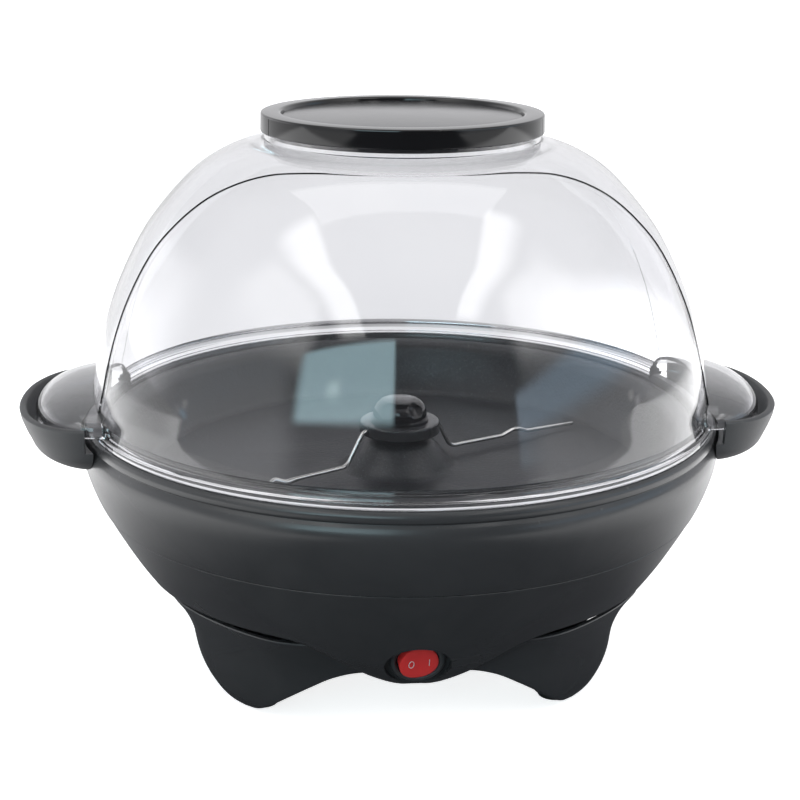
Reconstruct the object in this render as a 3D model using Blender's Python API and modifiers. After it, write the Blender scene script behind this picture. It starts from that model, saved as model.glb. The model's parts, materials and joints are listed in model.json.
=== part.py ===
"""Stirring popcorn maker with a clear dome, a non-stick heated pan and a geared stirring drive.

Units are metres, +Z is up, the front with the switch faces -Y and the side handles lie along X.
Every named object is one separate piece of the appliance.
"""

from math import cos, pi, radians, sin

import bmesh
import bpy
from mathutils import Matrix, Vector

MM = 0.001

# ---- driving sizes, in millimetres -------------------------------------------------------------
BODY_R = 143.7            # widest radius of the bowl-shaped housing
RIM_Z = 115.0             # top of the upper housing, where the dome stands
SEAM_Z = RIM_Z - 37.0     # joint line between the upper and the lower housing
SKIRT_TOP_Z = 43.5        # top edge of the foot skirt
HOUSING_EDGE_Z = 47.3     # bottom edge of the lower housing away from the front tongue
TONGUE_Z = 22.8           # lowest edge of the front tongue
PAN_FLOOR_Z = RIM_Z - 28.5   # cooking surface
PAN_RIM_R = BODY_R - 9.9  # outside of the rolled pan rim
DOME_WALL = 2.4           # clear plastic wall of the dome
NECK_R = 60.5             # outside radius of the dome's neck
NECK_TOP_Z = 244.6
CAP_R = NECK_R + 1.5
CAP_TOP_Z = NECK_TOP_Z + 4.2
SHAFT_R = 3.0
KNOB_TOP_Z = PAN_FLOOR_Z + 31.5
HANDLE_X = BODY_R - 9.7   # centre of each handle's plan outline
HANDLE_A = 36.5           # reach of the handle outline beyond HANDLE_X
HANDLE_B = 54.0           # half length of the handle outline
HANDLE_TOP_Z = RIM_Z + 6.5
ARCH_Z = 28.5             # height of the arches between the feet
FOOT_R = BODY_R - 52.7    # radius of the circle on which the rubber feet stand
SWITCH_TILT = radians(19.0)
SWITCH_AT = (0.0, 38.7 - BODY_R, TONGUE_Z + 13.5)
OUTER = BODY_R + 6.3      # radius that clears the bowl, for cutters

# ---- named clearances ---------------------------------------------------------------------------
GAP = 0.3                 # between pieces that rest on or against each other
SLIDE = 0.4               # round a turning or sliding piece
SHAFT_GAP = 0.4

ROUND = 40                # facets round the large turned pieces

# ---- scene set-up -------------------------------------------------------------------------------


def clear_scene():
    for obj in list(bpy.data.objects):
        bpy.data.objects.remove(obj, do_unlink=True)


def new_collection(name, helper=False):
    collection = bpy.data.collections.new(name)
    bpy.context.scene.collection.children.link(collection)
    collection.hide_render = helper
    return collection


clear_scene()
PARTS = new_collection("popcorn_maker")
CUTTERS = new_collection("cutters", helper=True)


def finish(name, colour, roughness, metallic=0.0, alpha=1.0, transmission=0.0):
    material = bpy.data.materials.new(name)
    material.use_nodes = True
    shader = material.node_tree.nodes["Principled BSDF"]
    shader.inputs["Base Color"].default_value = (*colour, 1.0)
    shader.inputs["Roughness"].default_value = roughness
    shader.inputs["Metallic"].default_value = metallic
    shader.inputs["Transmission Weight"].default_value = transmission
    shader.inputs["Alpha"].default_value = alpha
    return material


def shade(obj, look):
    """Gives the piece its own material."""
    obj.data.materials.clear()
    obj.data.materials.append(finish(obj.name, *look))
    return obj


BLACK_SATIN = ((0.020, 0.020, 0.022), 0.42)
BLACK_GLOSS = ((0.010, 0.010, 0.011), 0.16)
BLACK_MATT = ((0.024, 0.024, 0.026), 0.60)
NON_STICK = ((0.045, 0.046, 0.048), 0.48, 0.2)
STEEL = ((0.62, 0.61, 0.59), 0.24, 1.0)
ZINC = ((0.55, 0.56, 0.57), 0.35, 1.0)
ALU = ((0.70, 0.71, 0.72), 0.35, 1.0)
BRASS = ((0.72, 0.52, 0.22), 0.30, 1.0)
RUBBER = ((0.015, 0.015, 0.015), 0.85)
RED = ((0.62, 0.012, 0.010), 0.22)
CLEAR = ((0.92, 0.93, 0.94), 0.04, 0.0, 1.0, 0.95)
CREAM = ((0.70, 0.66, 0.55), 0.50)


# ---- builders -----------------------------------------------------------------------------------


def add_mesh(name, verts, faces, look=None, edges=()):
    mesh = bpy.data.meshes.new(name)
    mesh.from_pydata([tuple(c * MM for c in v) for v in verts], list(edges), faces)
    mesh.update()
    obj = bpy.data.objects.new(name, mesh)
    (PARTS if look else CUTTERS).objects.link(obj)
    if look:
        shade(obj, look)
    else:
        obj.hide_render = True
        obj.display_type = "WIRE"
    return obj


def place(obj, at=(0, 0, 0), turn=(0, 0, 0), scale=(1, 1, 1)):
    obj.location = [c * MM for c in at]
    obj.rotation_euler = turn
    obj.scale = scale
    return obj


def lathe(name, profile, look=None, steps=32, closed=False, **where):
    """A turned piece. The (radius, height) profile runs down its outer side from the top."""
    count = len(profile)
    edges = [(i, i + 1) for i in range(count - 1)] + ([(count - 1, 0)] if closed else [])
    obj = add_mesh(name, [(r, 0.0, z) for r, z in profile], [], look, edges)
    screw = obj.modifiers.new("turn", "SCREW")
    screw.steps = screw.render_steps = steps
    screw.axis = "Z"
    screw.use_merge_vertices = True
    screw.merge_threshold = 1e-5
    screw.use_smooth_shade = False
    return place(obj, **where)


def rod(name, radius, low, high, look=None, steps=16, **where):
    """A plain cylinder along local Z from low to high."""
    profile = [(0, high), (radius, high), (radius, low), (0, low)]
    return lathe(name, profile, look, steps, **where)


def block(name, low, high, look=None):
    """A box between two corners."""
    xs, ys, zs = zip(low, high)
    verts = [(x, y, z) for z in zs for y in ys for x in xs]
    faces = [(0, 2, 3, 1), (4, 5, 7, 6), (0, 1, 5, 4), (2, 6, 7, 3), (0, 4, 6, 2), (1, 3, 7, 5)]
    return add_mesh(name, verts, faces, look)


def prism(name, outline, low, high, look=None, along="Z"):
    """A counter-clockwise outline extruded between two levels along Z, or along -Y from its XZ view."""
    n = len(outline)
    if along == "Z":
        verts = [(x, y, low) for x, y in outline] + [(x, y, high) for x, y in outline]
    else:
        verts = [(x, high, z) for x, z in outline] + [(x, low, z) for x, z in outline]
    faces = [tuple(reversed(range(n))), tuple(range(n, 2 * n))]
    faces += [(i, (i + 1) % n, n + (i + 1) % n, n + i) for i in range(n)]
    return add_mesh(name, verts, faces, look)


def loft(name, loops, look=None, ring=False):
    """Joins equal loops of points. With ring the last loop joins the first, else both ends are capped."""
    n = len(loops[0])
    verts = [p for loop in loops for p in loop]
    faces = []
    spans = len(loops) if ring else len(loops) - 1
    for k in range(spans):
        a, b = k * n, ((k + 1) % len(loops)) * n
        faces += [(a + i, a + (i + 1) % n, b + (i + 1) % n, b + i) for i in range(n)]
    if not ring:
        faces += [tuple(reversed(range(n))), tuple(range((len(loops) - 1) * n, len(loops) * n))]
    obj = add_mesh(name, verts, faces, look)
    work = bmesh.new()
    work.from_mesh(obj.data)
    bmesh.ops.recalc_face_normals(work, faces=work.faces)
    work.to_mesh(obj.data)
    work.free()
    return obj


def boolean(target, operation, *others):
    for other in others:
        step = target.modifiers.new(f"{operation.lower()}_{other.name}", "BOOLEAN")
        step.operation = operation
        step.solver = "EXACT"
        step.object = other
    return target


def cut(target, *others):
    return boolean(target, "DIFFERENCE", *others)


def join(target, *others):
    return boolean(target, "UNION", *others)


def wire(name, points, radius, look, sides=8, smooth=3):
    """A bent round wire through the points, as a closed mesh."""
    curve = bpy.data.curves.new(name, "CURVE")
    curve.dimensions = "3D"
    curve.bevel_depth = radius * MM
    curve.bevel_resolution = max(0, sides // 4 - 1)
    curve.use_fill_caps = True
    curve.resolution_u = smooth
    line = curve.splines.new("POLY")
    line.points.add(len(points) - 1)
    for point, at in zip(line.points, points):
        point.co = (*[c * MM for c in at], 1.0)
    holder = bpy.data.objects.new(name + "_path", curve)
    CUTTERS.objects.link(holder)
    mesh = bpy.data.meshes.new_from_object(holder)
    bpy.data.objects.remove(holder, do_unlink=True)
    work = bmesh.new()
    work.from_mesh(mesh)
    bmesh.ops.remove_doubles(work, verts=work.verts, dist=1e-6)
    bmesh.ops.recalc_face_normals(work, faces=work.faces)
    work.to_mesh(mesh)
    work.free()
    obj = bpy.data.objects.new(name, mesh)
    PARTS.objects.link(obj)
    return shade(obj, look)


def polar(radius, degrees_):
    """Plan position at an angle counted from the front (-Y) towards +X."""
    return radius * sin(radians(degrees_)), -radius * cos(radians(degrees_))


def super_loop(cx, a, b, z, power=2.2, count=36):
    """A superellipse outline about (cx, 0) at height z."""
    loop = []
    for i in range(count):
        t = 2 * pi * i / count
        c, s = cos(t), sin(t)
        x = a * abs(c) ** (2 / power) * (1 if c >= 0 else -1)
        y = b * abs(s) ** (2 / power) * (1 if s >= 0 else -1)
        loop.append((cx + x, y, z))
    return loop


def ramp(value, low, high):
    t = min(1.0, max(0.0, (value - low) / (high - low)))
    return t * t * (3 - 2 * t)


def between(value, table):
    """Straight-line reading of a table of (key, result) pairs with rising keys."""
    for (k0, r0), (k1, r1) in zip(table, table[1:]):
        if value <= k1:
            t = max(0.0, (value - k0) / (k1 - k0))
            return r0 + t * (r1 - r0)
    return table[-1][1]


# ---- upper housing ------------------------------------------------------------------------------

LEDGE_R = PAN_RIM_R - 5.2        # inner edge of the ledge that carries the pan
LEDGE_Z = RIM_Z - 4.4            # top of that ledge
upper_housing = lathe(
    "upper_housing",
    [
        (BODY_R - 2.9, RIM_Z), (BODY_R - 1.3, RIM_Z - 1.8), (BODY_R - 1.5, RIM_Z - 4.5),
        (BODY_R - 2.0, RIM_Z - 5.0), (BODY_R - 0.8, RIM_Z - 5.6), (BODY_R, RIM_Z - 11.5),
        (BODY_R - 1.3, RIM_Z - 20.0), (BODY_R - 4.1, SEAM_Z + 8.0), (BODY_R - 7.6, SEAM_Z),
        (BODY_R - 10.3, SEAM_Z), (BODY_R - 6.7, SEAM_Z + 8.6), (BODY_R - 3.9, RIM_Z - 19.0),
        (BODY_R - 2.8, RIM_Z - 11.7), (BODY_R - 3.9, LEDGE_Z - 3.0), (LEDGE_R, LEDGE_Z - 3.0),
        (LEDGE_R, LEDGE_Z), (BODY_R - 7.8, LEDGE_Z), (BODY_R - 7.3, RIM_Z),
    ],
    BLACK_SATIN, steps=ROUND, closed=True,
)

# ---- side handles -------------------------------------------------------------------------------

HANDLE_SCREWS_Y = (-20.0, 20.0)
HANDLE_SCREW_Z = HANDLE_TOP_Z - 20.5
HANDLE_FLOOR_Z = HANDLE_TOP_Z - 10.7
HANDLE_LEVELS = [  # (reach, half length, height): outside from the bottom up, then the pocket
    (HANDLE_A - 22.5, HANDLE_B - 26.0, HANDLE_TOP_Z - 25.1),
    (HANDLE_A - 13.5, HANDLE_B - 12.0, HANDLE_TOP_Z - 21.0),
    (HANDLE_A - 8.0, HANDLE_B - 5.5, HANDLE_TOP_Z - 16.9),
    (HANDLE_A - 4.9, HANDLE_B - 2.4, HANDLE_TOP_Z - 13.3),
    (HANDLE_A - 2.7, HANDLE_B - 1.2, HANDLE_TOP_Z - 9.0),
    (HANDLE_A - 0.7, HANDLE_B - 0.3, HANDLE_TOP_Z - 4.0),
    (HANDLE_A, HANDLE_B, HANDLE_TOP_Z - 0.8),
    (HANDLE_A - 0.7, HANDLE_B - 0.7, HANDLE_TOP_Z), (HANDLE_A - 2.8, HANDLE_B - 2.8, HANDLE_TOP_Z),
    (HANDLE_A - 3.5, HANDLE_B - 3.5, HANDLE_TOP_Z - 0.8), (HANDLE_A - 5.6, HANDLE_B - 4.8, HANDLE_FLOOR_Z),
]
body_clear = rod("body_clear_cut", BODY_R + GAP, RIM_Z - 55.0, RIM_Z + 25.0, steps=ROUND)
handles = {}
for side, sign in (("left", -1), ("right", 1)):
    loops = [super_loop(HANDLE_X * sign, a, b, z) for a, b, z in HANDLE_LEVELS]
    handle = loft(f"side_handle_{side}", loops, BLACK_MATT)
    inward = sorted((0, sign * (HANDLE_X + 3.5)))
    end_cut = block(
        f"handle_end_cut_{side}", (inward[0], -HANDLE_B - 26.0, HANDLE_FLOOR_Z + 0.1),
        (inward[1], HANDLE_B + 26.0, RIM_Z + 25.0),
    )
    cut(handle, body_clear, end_cut)
    for k, y in enumerate(HANDLE_SCREWS_Y):
        turn = (0, sign * pi / 2, 0)
        at = (sign * (BODY_R - 7.7), y, HANDLE_SCREW_Z)
        hole = rod(f"handle_hole_{side}_{k}", 1.55 + 0.25, 0, 18.6, steps=8, at=at, turn=turn)
        cut(handle, hole)
        cut(upper_housing, hole)
        lathe(
            f"handle_screw_{side}_{k + 1}",
            [(0, 16.5), (1.55, 15.2), (1.55, 0.9), (3.2, 0.9), (2.8, -1.4), (0, -1.4)],
            ZINC, steps=10, at=(sign * (BODY_R - 6.4), y, HANDLE_SCREW_Z), turn=turn,
        )
    handles[side] = handle

# ---- lower housing with its front tongue ---------------------------------------------------------

MID_Z = HOUSING_EDGE_Z + 12.7    # height where the bowl's wall bends, above its lower edge
LOWER_OUT = [
    (TONGUE_Z, BODY_R - 45.7), (TONGUE_Z + 16.7, BODY_R - 32.4), (HOUSING_EDGE_Z + 0.2, BODY_R - 26.5),
    (MID_Z, BODY_R - 17.9), (SEAM_Z - GAP, BODY_R - 8.2),
]


def lower_radius(z):
    return between(z, LOWER_OUT)


lower_housing = lathe(
    "lower_housing",
    [
        (BODY_R - 12.5, SEAM_Z + 2.8), (BODY_R - 10.9, SEAM_Z + 2.8), (BODY_R - 10.8, SEAM_Z - GAP),
        *((radius, z) for z, radius in reversed(LOWER_OUT)),
        (BODY_R - 48.2, TONGUE_Z), (BODY_R - 34.8, TONGUE_Z + 17.2), (BODY_R - 29.3, HOUSING_EDGE_Z + 0.4),
        (BODY_R - 40.9, HOUSING_EDGE_Z + 0.4), (BODY_R - 40.9, HOUSING_EDGE_Z - 7.7),
        (BODY_R - 42.8, HOUSING_EDGE_Z - 7.7), (BODY_R - 42.8, HOUSING_EDGE_Z + 0.4),
        (BODY_R - 53.7, HOUSING_EDGE_Z + 0.4), (BODY_R - 53.7, HOUSING_EDGE_Z + 2.9),
        (BODY_R - 27.3, HOUSING_EDGE_Z + 2.9), (BODY_R - 20.5, MID_Z + 0.2), (BODY_R - 12.5, SEAM_Z - 3.6),
    ],
    BLACK_SATIN, steps=ROUND, closed=True,
)
TONGUE_EDGE = [  # lower edge of the tongue in front view: half width against height
    (9.0, TONGUE_Z - 8.0), (9.1, TONGUE_Z + 0.2), (16.5, 26.6), (25.0, 31.6), (32.5, 36.8), (38.5, 40.8),
    (45.0, 44.3), (52.0, 46.6), (60.0, HOUSING_EDGE_Z + 3.0),
]
tongue_outline = [(x, z) for x, z in TONGUE_EDGE] + [(-x, z) for x, z in reversed(TONGUE_EDGE)]
tongue_keep = prism("tongue_keep", tongue_outline, -OUTER - 20.0, 83.7 - BODY_R, along="Y")
edge_cut = lathe(
    "housing_edge_cut",
    [(OUTER, HOUSING_EDGE_Z), (OUTER, 10), (BODY_R - 57.7, 10), (BODY_R - 57.7, HOUSING_EDGE_Z - 8.4),
     (BODY_R - 40.1, HOUSING_EDGE_Z - 8.4), (BODY_R - 40.1, HOUSING_EDGE_Z)],
    steps=ROUND, closed=True,
)
cut(edge_cut, tongue_keep)
cut(lower_housing, edge_cut)

# Round pocket for the switch, with its own floor behind the wall.
SWITCH_TURN = (pi / 2 + SWITCH_TILT, 0, 0)
POCKET_R = 14.0
POCKET_FLOOR = -2.0              # pocket floor below the switch face, along the switch axis
pocket_back = rod(
    "switch_pocket_back", POCKET_R + 2.0, POCKET_FLOOR - 2.2, 6.0, steps=24, at=SWITCH_AT, turn=SWITCH_TURN
)
pocket_trim = lathe(
    "switch_pocket_trim",
    [(OUTER, 5), (BODY_R - 47.5, 5), (BODY_R - 47.5, TONGUE_Z - 1.4),
     *((lower_radius(z) - 0.6, z) for z in (TONGUE_Z + 16.7, HOUSING_EDGE_Z + 0.2, MID_Z, MID_Z + 10.0)),
     (OUTER, MID_Z + 10.0)],
    steps=ROUND, closed=True,
)
cut(pocket_back, pocket_trim)
pocket_hollow = rod(
    "switch_pocket_hollow", POCKET_R, POCKET_FLOOR, 26.0, steps=24, at=SWITCH_AT, turn=SWITCH_TURN
)
switch_hole = rod("switch_hole", 10.0 + GAP, -30.0, 6.0, steps=20, at=SWITCH_AT, turn=SWITCH_TURN)
join(lower_housing, pocket_back)
cut(lower_housing, pocket_hollow, switch_hole)

# Cord inlet at the rear: a flat round seat with a hole.
CORD_Z = HOUSING_EDGE_Z + 13.4
CORD_SEAT_Y = BODY_R - 21.7
REARWARD = {"at": (0, 0, CORD_Z), "turn": (-pi / 2, 0, 0)}
inlet_back = rod("cord_inlet_back", 11.8, CORD_SEAT_Y - 6.8, CORD_SEAT_Y + 3.4, steps=20, **REARWARD)
inlet_seat = rod("cord_inlet_seat", 10.3, CORD_SEAT_Y, OUTER, steps=20, **REARWARD)
inlet_hole = rod("cord_inlet_hole", 6.0 + GAP, CORD_SEAT_Y - 22.0, OUTER, steps=16, **REARWARD)
inlet_trim = lathe(
    "cord_inlet_trim",
    [(OUTER, HOUSING_EDGE_Z - 0.3), (BODY_R - 27.3, HOUSING_EDGE_Z - 0.3), (BODY_R - 18.5, MID_Z),
     (BODY_R - 10.1, SEAM_Z - 2.7), (OUTER, SEAM_Z - 2.0)],
    steps=ROUND, closed=True,
)
cut(inlet_back, inlet_trim)
join(lower_housing, inlet_back)
cut(lower_housing, inlet_seat, inlet_hole)
BUSH_SECTION = [
    (9.6, 3.0), (9.6, GAP), (6.0, GAP), (6.0, -7.0), (7.2, -7.4), (7.2, -9.6), (5.6, -11.0),
    (3.8, -11.0), (3.8, 4.4), (6.6, 4.4), (7.8, 3.0),
]
lathe(
    "cord_inlet_bush", BUSH_SECTION, RUBBER, steps=16, closed=True,
    at=(0, CORD_SEAT_Y, CORD_Z), turn=(-pi / 2, 0, 0),
)

# ---- foot skirt, bottom cover and feet ------------------------------------------------------------

SKIRT_OUT = [  # height against outside radius at a foot
    (0.0, BODY_R - 44.2), (2.0, BODY_R - 42.3), (6.0, BODY_R - 40.7), (16.0, BODY_R - 39.1),
    (26.0, BODY_R - 37.5), (34.0, BODY_R - 34.3), (40.0, BODY_R - 31.1), (46.0, BODY_R - 26.7),
]
ARCH_EDGE = [  # degrees from the middle of a side against the height of the lower edge
    (0.0, ARCH_Z), (12.0, ARCH_Z - 0.4), (20.0, ARCH_Z - 4.1), (26.0, ARCH_Z - 9.9), (32.0, ARCH_Z - 16.5),
    (37.0, ARCH_Z - 22.7), (41.0, ARCH_Z - 26.5), (44.0, 1.2), (45.0, 1.2),
]
SKIRT_HOLLOW = 6.8               # how far the skirt draws in between two feet
SKIRT_WALL = 2.4


def from_side_middle(angle):
    """Degrees from the nearest middle of a side: 0 between two feet, 45 at a foot."""
    return abs((angle + 45.0) % 90.0 - 45.0)


def skirt_radius(angle, z):
    hollow = SKIRT_HOLLOW * (1.0 - ramp(from_side_middle(angle), 13.0, 34.0))
    return between(z, SKIRT_OUT) - hollow


def skirt_loop(count, level, inset):
    """One loop of the skirt. Level is (fraction of the way down, or a fixed height when above 1)."""
    loop = []
    for i in range(count):
        angle = 360.0 * i / count
        edge = between(from_side_middle(angle), ARCH_EDGE)
        z = SKIRT_TOP_Z + (edge - SKIRT_TOP_Z) * level if level <= 1 else level
        x, y = polar(skirt_radius(angle, z) - inset, angle)
        loop.append((x, y, z))
    return loop


def flange_loop(count, radius, z):
    return [(*polar(radius, 360.0 * i / count), z) for i in range(count)]


N_SKIRT = 60
FLANGE_Z = (33.0, 35.5)
skirt_loops = [skirt_loop(N_SKIRT, t, 0.0) for t in (0.0, 0.2, 0.5, 0.75, 0.95)]
skirt_loops += [skirt_loop(N_SKIRT, 1.0, 0.8), skirt_loop(N_SKIRT, 1.0, SKIRT_WALL)]
FLANGE_IN_R = BODY_R - 54.7
skirt_loops += [skirt_loop(N_SKIRT, FLANGE_Z[0], SKIRT_WALL), flange_loop(N_SKIRT, FLANGE_IN_R, FLANGE_Z[0])]
skirt_loops += [flange_loop(N_SKIRT, FLANGE_IN_R, FLANGE_Z[1]), skirt_loop(N_SKIRT, FLANGE_Z[1], SKIRT_WALL)]
skirt_loops += [skirt_loop(N_SKIRT, 0.0, SKIRT_WALL)]
foot_skirt = loft("foot_skirt", skirt_loops, BLACK_SATIN, ring=True)
# Room for the tongue of the lower housing, which overlaps the skirt at the front.
room_edge = [(x + 0.5, max(z - 0.5, TONGUE_Z - 9.0)) for x, z in TONGUE_EDGE]
room_outline = room_edge + [(-x, z) for x, z in reversed(room_edge)]
tongue_room = lathe(
    "tongue_room",
    [(OUTER, HOUSING_EDGE_Z + 1.7), (OUTER, TONGUE_Z - 10.8), (BODY_R - 55.7, TONGUE_Z - 10.8),
     (BODY_R - 48.7, TONGUE_Z), (BODY_R - 35.3, TONGUE_Z + 17.2), (BODY_R - 28.7, HOUSING_EDGE_Z + 1.7)],
    steps=ROUND, closed=True,
)
room_plan = prism("tongue_room_plan", room_outline, -OUTER - 20.0, 83.7 - BODY_R, along="Y")
boolean(tongue_room, "INTERSECT", room_plan)
cut(foot_skirt, tongue_room)
FOOT_ANGLES = (45, 135, 225, 315)
for k, angle in enumerate(FOOT_ANGLES):
    at = (*polar(FOOT_R, angle), 0)
    post = rod(f"foot_post_{k}", 9.0, 2.6, 34.0, steps=12, at=at)
    join(foot_skirt, post)
for k, angle in enumerate(FOOT_ANGLES):
    at = (*polar(FOOT_R, angle), 0)
    socket = rod(f"foot_socket_{k}", 3.6 + GAP, 0.0, 8.5, steps=10, at=at)
    cut(foot_skirt, socket)
    lathe(
        f"rubber_foot_{k + 1}",
        [(0, 7.4), (3.6, 7.4), (3.6, 2.3), (7.6, 2.3), (7.0, 0.0), (0, 0.0)],
        RUBBER, steps=12, at=at,
    )

COVER_Z = (FLANGE_Z[1] + GAP, FLANGE_Z[1] + GAP + 2.2)
bottom_cover = rod("bottom_cover", BODY_R - 44.7, COVER_Z[0], COVER_Z[1], BLACK_MATT, steps=32)
BAY_X = 17.2                     # half width of the room left for the switch body
switch_bay = block("switch_bay", (-BAY_X, 13.7 - BODY_R, 10.0), (BAY_X, 67.7 - BODY_R, 60.0))
cut(foot_skirt, switch_bay)
cut(bottom_cover, switch_bay)
BASE_SCREW_ANGLES = (26, 154, 206, 334)
BASE_SCREW_R = BODY_R - 48.7
for k, angle in enumerate(BASE_SCREW_ANGLES):
    at = (*polar(BASE_SCREW_R, angle), 0)
    boss = rod(f"base_boss_{k}", 4.4, COVER_Z[1] + GAP, 49.0, steps=10, at=at)
    join(lower_housing, boss)
for k, angle in enumerate(BASE_SCREW_ANGLES):
    at = (*polar(BASE_SCREW_R, angle), 0)
    hole = rod(f"base_screw_hole_{k}", 1.55 + 0.25, 20.0, 47.2, steps=8, at=at)
    cut(lower_housing, hole)
    cut(foot_skirt, hole)
    cut(bottom_cover, hole)
    lathe(
        f"base_screw_{k + 1}",
        [(0, 46.2), (1.55, 45.0), (1.55, 32.7), (3.2, 32.7), (2.8, 30.4), (0, 30.4)],
        ZINC, steps=10, at=at,
    )
for i in range(6):
    vent_at = (*polar(62.0, 60.0 * i), 0)
    cut(bottom_cover, rod(f"vent_{i}", 3.2, 30.0, 42.0, steps=6, at=vent_at))

# ---- heating pan, element and heat shield ---------------------------------------------------------

BUSH_R = SHAFT_R + 2.0
PAN_HOLE_R = BUSH_R + GAP
F = PAN_FLOOR_Z
heating_pan = lathe(
    "heating_pan",
    [
        (PAN_HOLE_R, F + 15.9), (PAN_HOLE_R + 4.3, F + 15.4), (15.4, F + 12.2), (20.6, F + 6.6),
        (24.4, F + 1.6), (28.0, F), (PAN_RIM_R - 22.8, F), (PAN_RIM_R - 16.0, F + 3.8),
        (PAN_RIM_R - 11.6, F + 14.5), (PAN_RIM_R - 9.4, F + 22.4), (PAN_RIM_R - 6.4, F + 25.8),
        (PAN_RIM_R - 2.8, F + 26.4), (PAN_RIM_R, F + 25.3), (PAN_RIM_R - 0.5, LEDGE_Z + GAP),
        (PAN_RIM_R - 6.2, LEDGE_Z + GAP), (PAN_RIM_R - 7.8, F + 21.6), (PAN_RIM_R - 9.6, F + 14.0),
        (PAN_RIM_R - 14.2, F + 1.8), (PAN_RIM_R - 21.6, F - 2.2), (25.8, F - 2.2), (22.0, F),
        (17.4, F + 6.4), (12.4, F + 11.0), (PAN_HOLE_R, F + 13.2),
    ],
    NON_STICK, steps=ROUND, closed=True,
)
PAN_UNDER_Z = F - 2.2
SHIELD_Z = F - 17.5
PAN_SCREW_R = 82.0
PAN_SCREW_ANGLES = (90, 210, 330)
heat_shield = lathe(
    "heat_shield",
    [
        (PAN_RIM_R + 0.2, LEDGE_Z - 3.0 - GAP), (PAN_RIM_R + 0.2, LEDGE_Z - 4.2),
        (PAN_RIM_R - 6.1, LEDGE_Z - 4.2), (PAN_RIM_R - 10.4, F - 6.5), (PAN_RIM_R - 27.8, SHIELD_Z),
        (9.0, SHIELD_Z), (9.0, SHIELD_Z + 0.9), (PAN_RIM_R - 28.2, SHIELD_Z + 0.9),
        (PAN_RIM_R - 11.4, F - 6.1), (PAN_RIM_R - 6.9, LEDGE_Z - 3.0 - GAP),
    ],
    ALU, steps=32, closed=True,
)
for k, angle in enumerate(PAN_SCREW_ANGLES):
    at = (*polar(PAN_SCREW_R, angle), 0)
    join(heating_pan, rod(f"pan_boss_{k}", 4.2, SHIELD_Z + 0.9 + GAP, PAN_UNDER_Z + 1.0, steps=10, at=at))
for k, angle in enumerate(PAN_SCREW_ANGLES):
    at = (*polar(PAN_SCREW_R, angle), 0)
    hole = rod(f"pan_screw_hole_{k}", 1.55 + 0.25, SHIELD_Z - 9.0, F - 4.9, steps=8, at=at)
    cut(heating_pan, hole)
    cut(heat_shield, hole)
    lathe(
        f"pan_screw_{k + 1}",
        [(0, F - 5.9), (1.55, F - 7.1), (1.55, SHIELD_Z - GAP), (3.2, SHIELD_Z - GAP), (2.8, SHIELD_Z - 2.6),
         (0, SHIELD_Z - 2.6)],
        ZINC, steps=10, at=at,
    )

ELEMENT_R = 60.0
ELEMENT_TUBE = 3.2
element_z = PAN_UNDER_Z - ELEMENT_TUBE - GAP
element_path = []
for i in range(37):
    x, y = polar(ELEMENT_R, 195.0 + 330.0 * i / 36)
    element_path.append((x, y, element_z))
first, last = element_path[0], element_path[-1]


def element_tail(end):
    """The end of the element turned down towards the wiring."""
    scale = (ELEMENT_R - 3.0) / ELEMENT_R
    return [(end[0] * scale, end[1] * scale, element_z - 5.5)]


wire(
    "heating_element", element_tail(first) + element_path + element_tail(last), ELEMENT_TUBE, ZINC
)

lathe(
    "thermostat",
    [(0, PAN_UNDER_Z - GAP), (8.4, PAN_UNDER_Z - GAP), (8.4, PAN_UNDER_Z - 3.4), (7.2, PAN_UNDER_Z - 3.8),
     (7.2, PAN_UNDER_Z - 8.6), (0, PAN_UNDER_Z - 8.6)],
    ALU, steps=20, at=(*polar(40.0, 60.0), 0),
)
lathe(
    "thermal_fuse",
    [(0, 9.0), (1.0, 8.6), (2.2, 7.0), (2.2, -7.0), (1.0, -8.6), (0, -9.0)],
    CREAM, steps=12, at=(*polar(98.0, 150.0), PAN_UNDER_Z - GAP - 2.3), turn=(pi / 2, 0, radians(-120)),
)

# ---- geared motor and drive shaft -----------------------------------------------------------------

MOTOR_Z = (COVER_Z[1] + 4.0, COVER_Z[1] + 19.0)
BORE_R = SHAFT_R + SHAFT_GAP
motor_can = rod("motor_can", 29.0, MOTOR_Z[0], MOTOR_Z[1], ZINC, steps=24)
lathe(
    "gearbox_cover",
    [(BORE_R, MOTOR_Z[1] + 9.0), (7.0, MOTOR_Z[1] + 9.0), (7.4, MOTOR_Z[1] + 6.4), (28.0, MOTOR_Z[1] + 6.0),
     (29.0, MOTOR_Z[1] + 5.0), (29.0, MOTOR_Z[1] + GAP), (BORE_R, MOTOR_Z[1] + GAP)],
    ZINC, steps=24, closed=True,
)
shaft_bore = rod("motor_bore", BORE_R, MOTOR_Z[0] + 5.0, MOTOR_Z[1] + 20.0, steps=20)
cut(motor_can, shaft_bore)
MOTOR_SCREW_X = 34.0
motor_bracket = prism(
    "motor_bracket",
    [(-40, -8), (40, -8), (40, 8), (-40, 8)], MOTOR_Z[0] - 1.6 - GAP, MOTOR_Z[0] - GAP, ZINC,
)
for sign in (-1, 1):
    post = rod(
        f"motor_post_{sign}", 4.4, COVER_Z[1] - 1.0, MOTOR_Z[0] - 1.6 - 2 * GAP, steps=10,
        at=(sign * MOTOR_SCREW_X, 0, 0),
    )
    join(bottom_cover, post)
for k, sign in enumerate((-1, 1)):
    at = (sign * MOTOR_SCREW_X, 0, 0)
    hole = rod(f"motor_screw_hole_{k}", 1.3 + 0.25, 30.0, 60.0, steps=8, at=at)
    cut(bottom_cover, hole)
    cut(motor_bracket, hole)
    top = MOTOR_Z[0] - GAP
    lathe(
        f"motor_screw_{k + 1}",
        [(0, top + 2.4), (2.2, top + 2.4), (2.8, top + 1.8), (2.8, top + 0.2), (1.3, top + 0.2),
         (1.3, COVER_Z[0] + 1.6), (0, COVER_Z[0] + 1.2)],
        ZINC, steps=12, at=at,
    )

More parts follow.
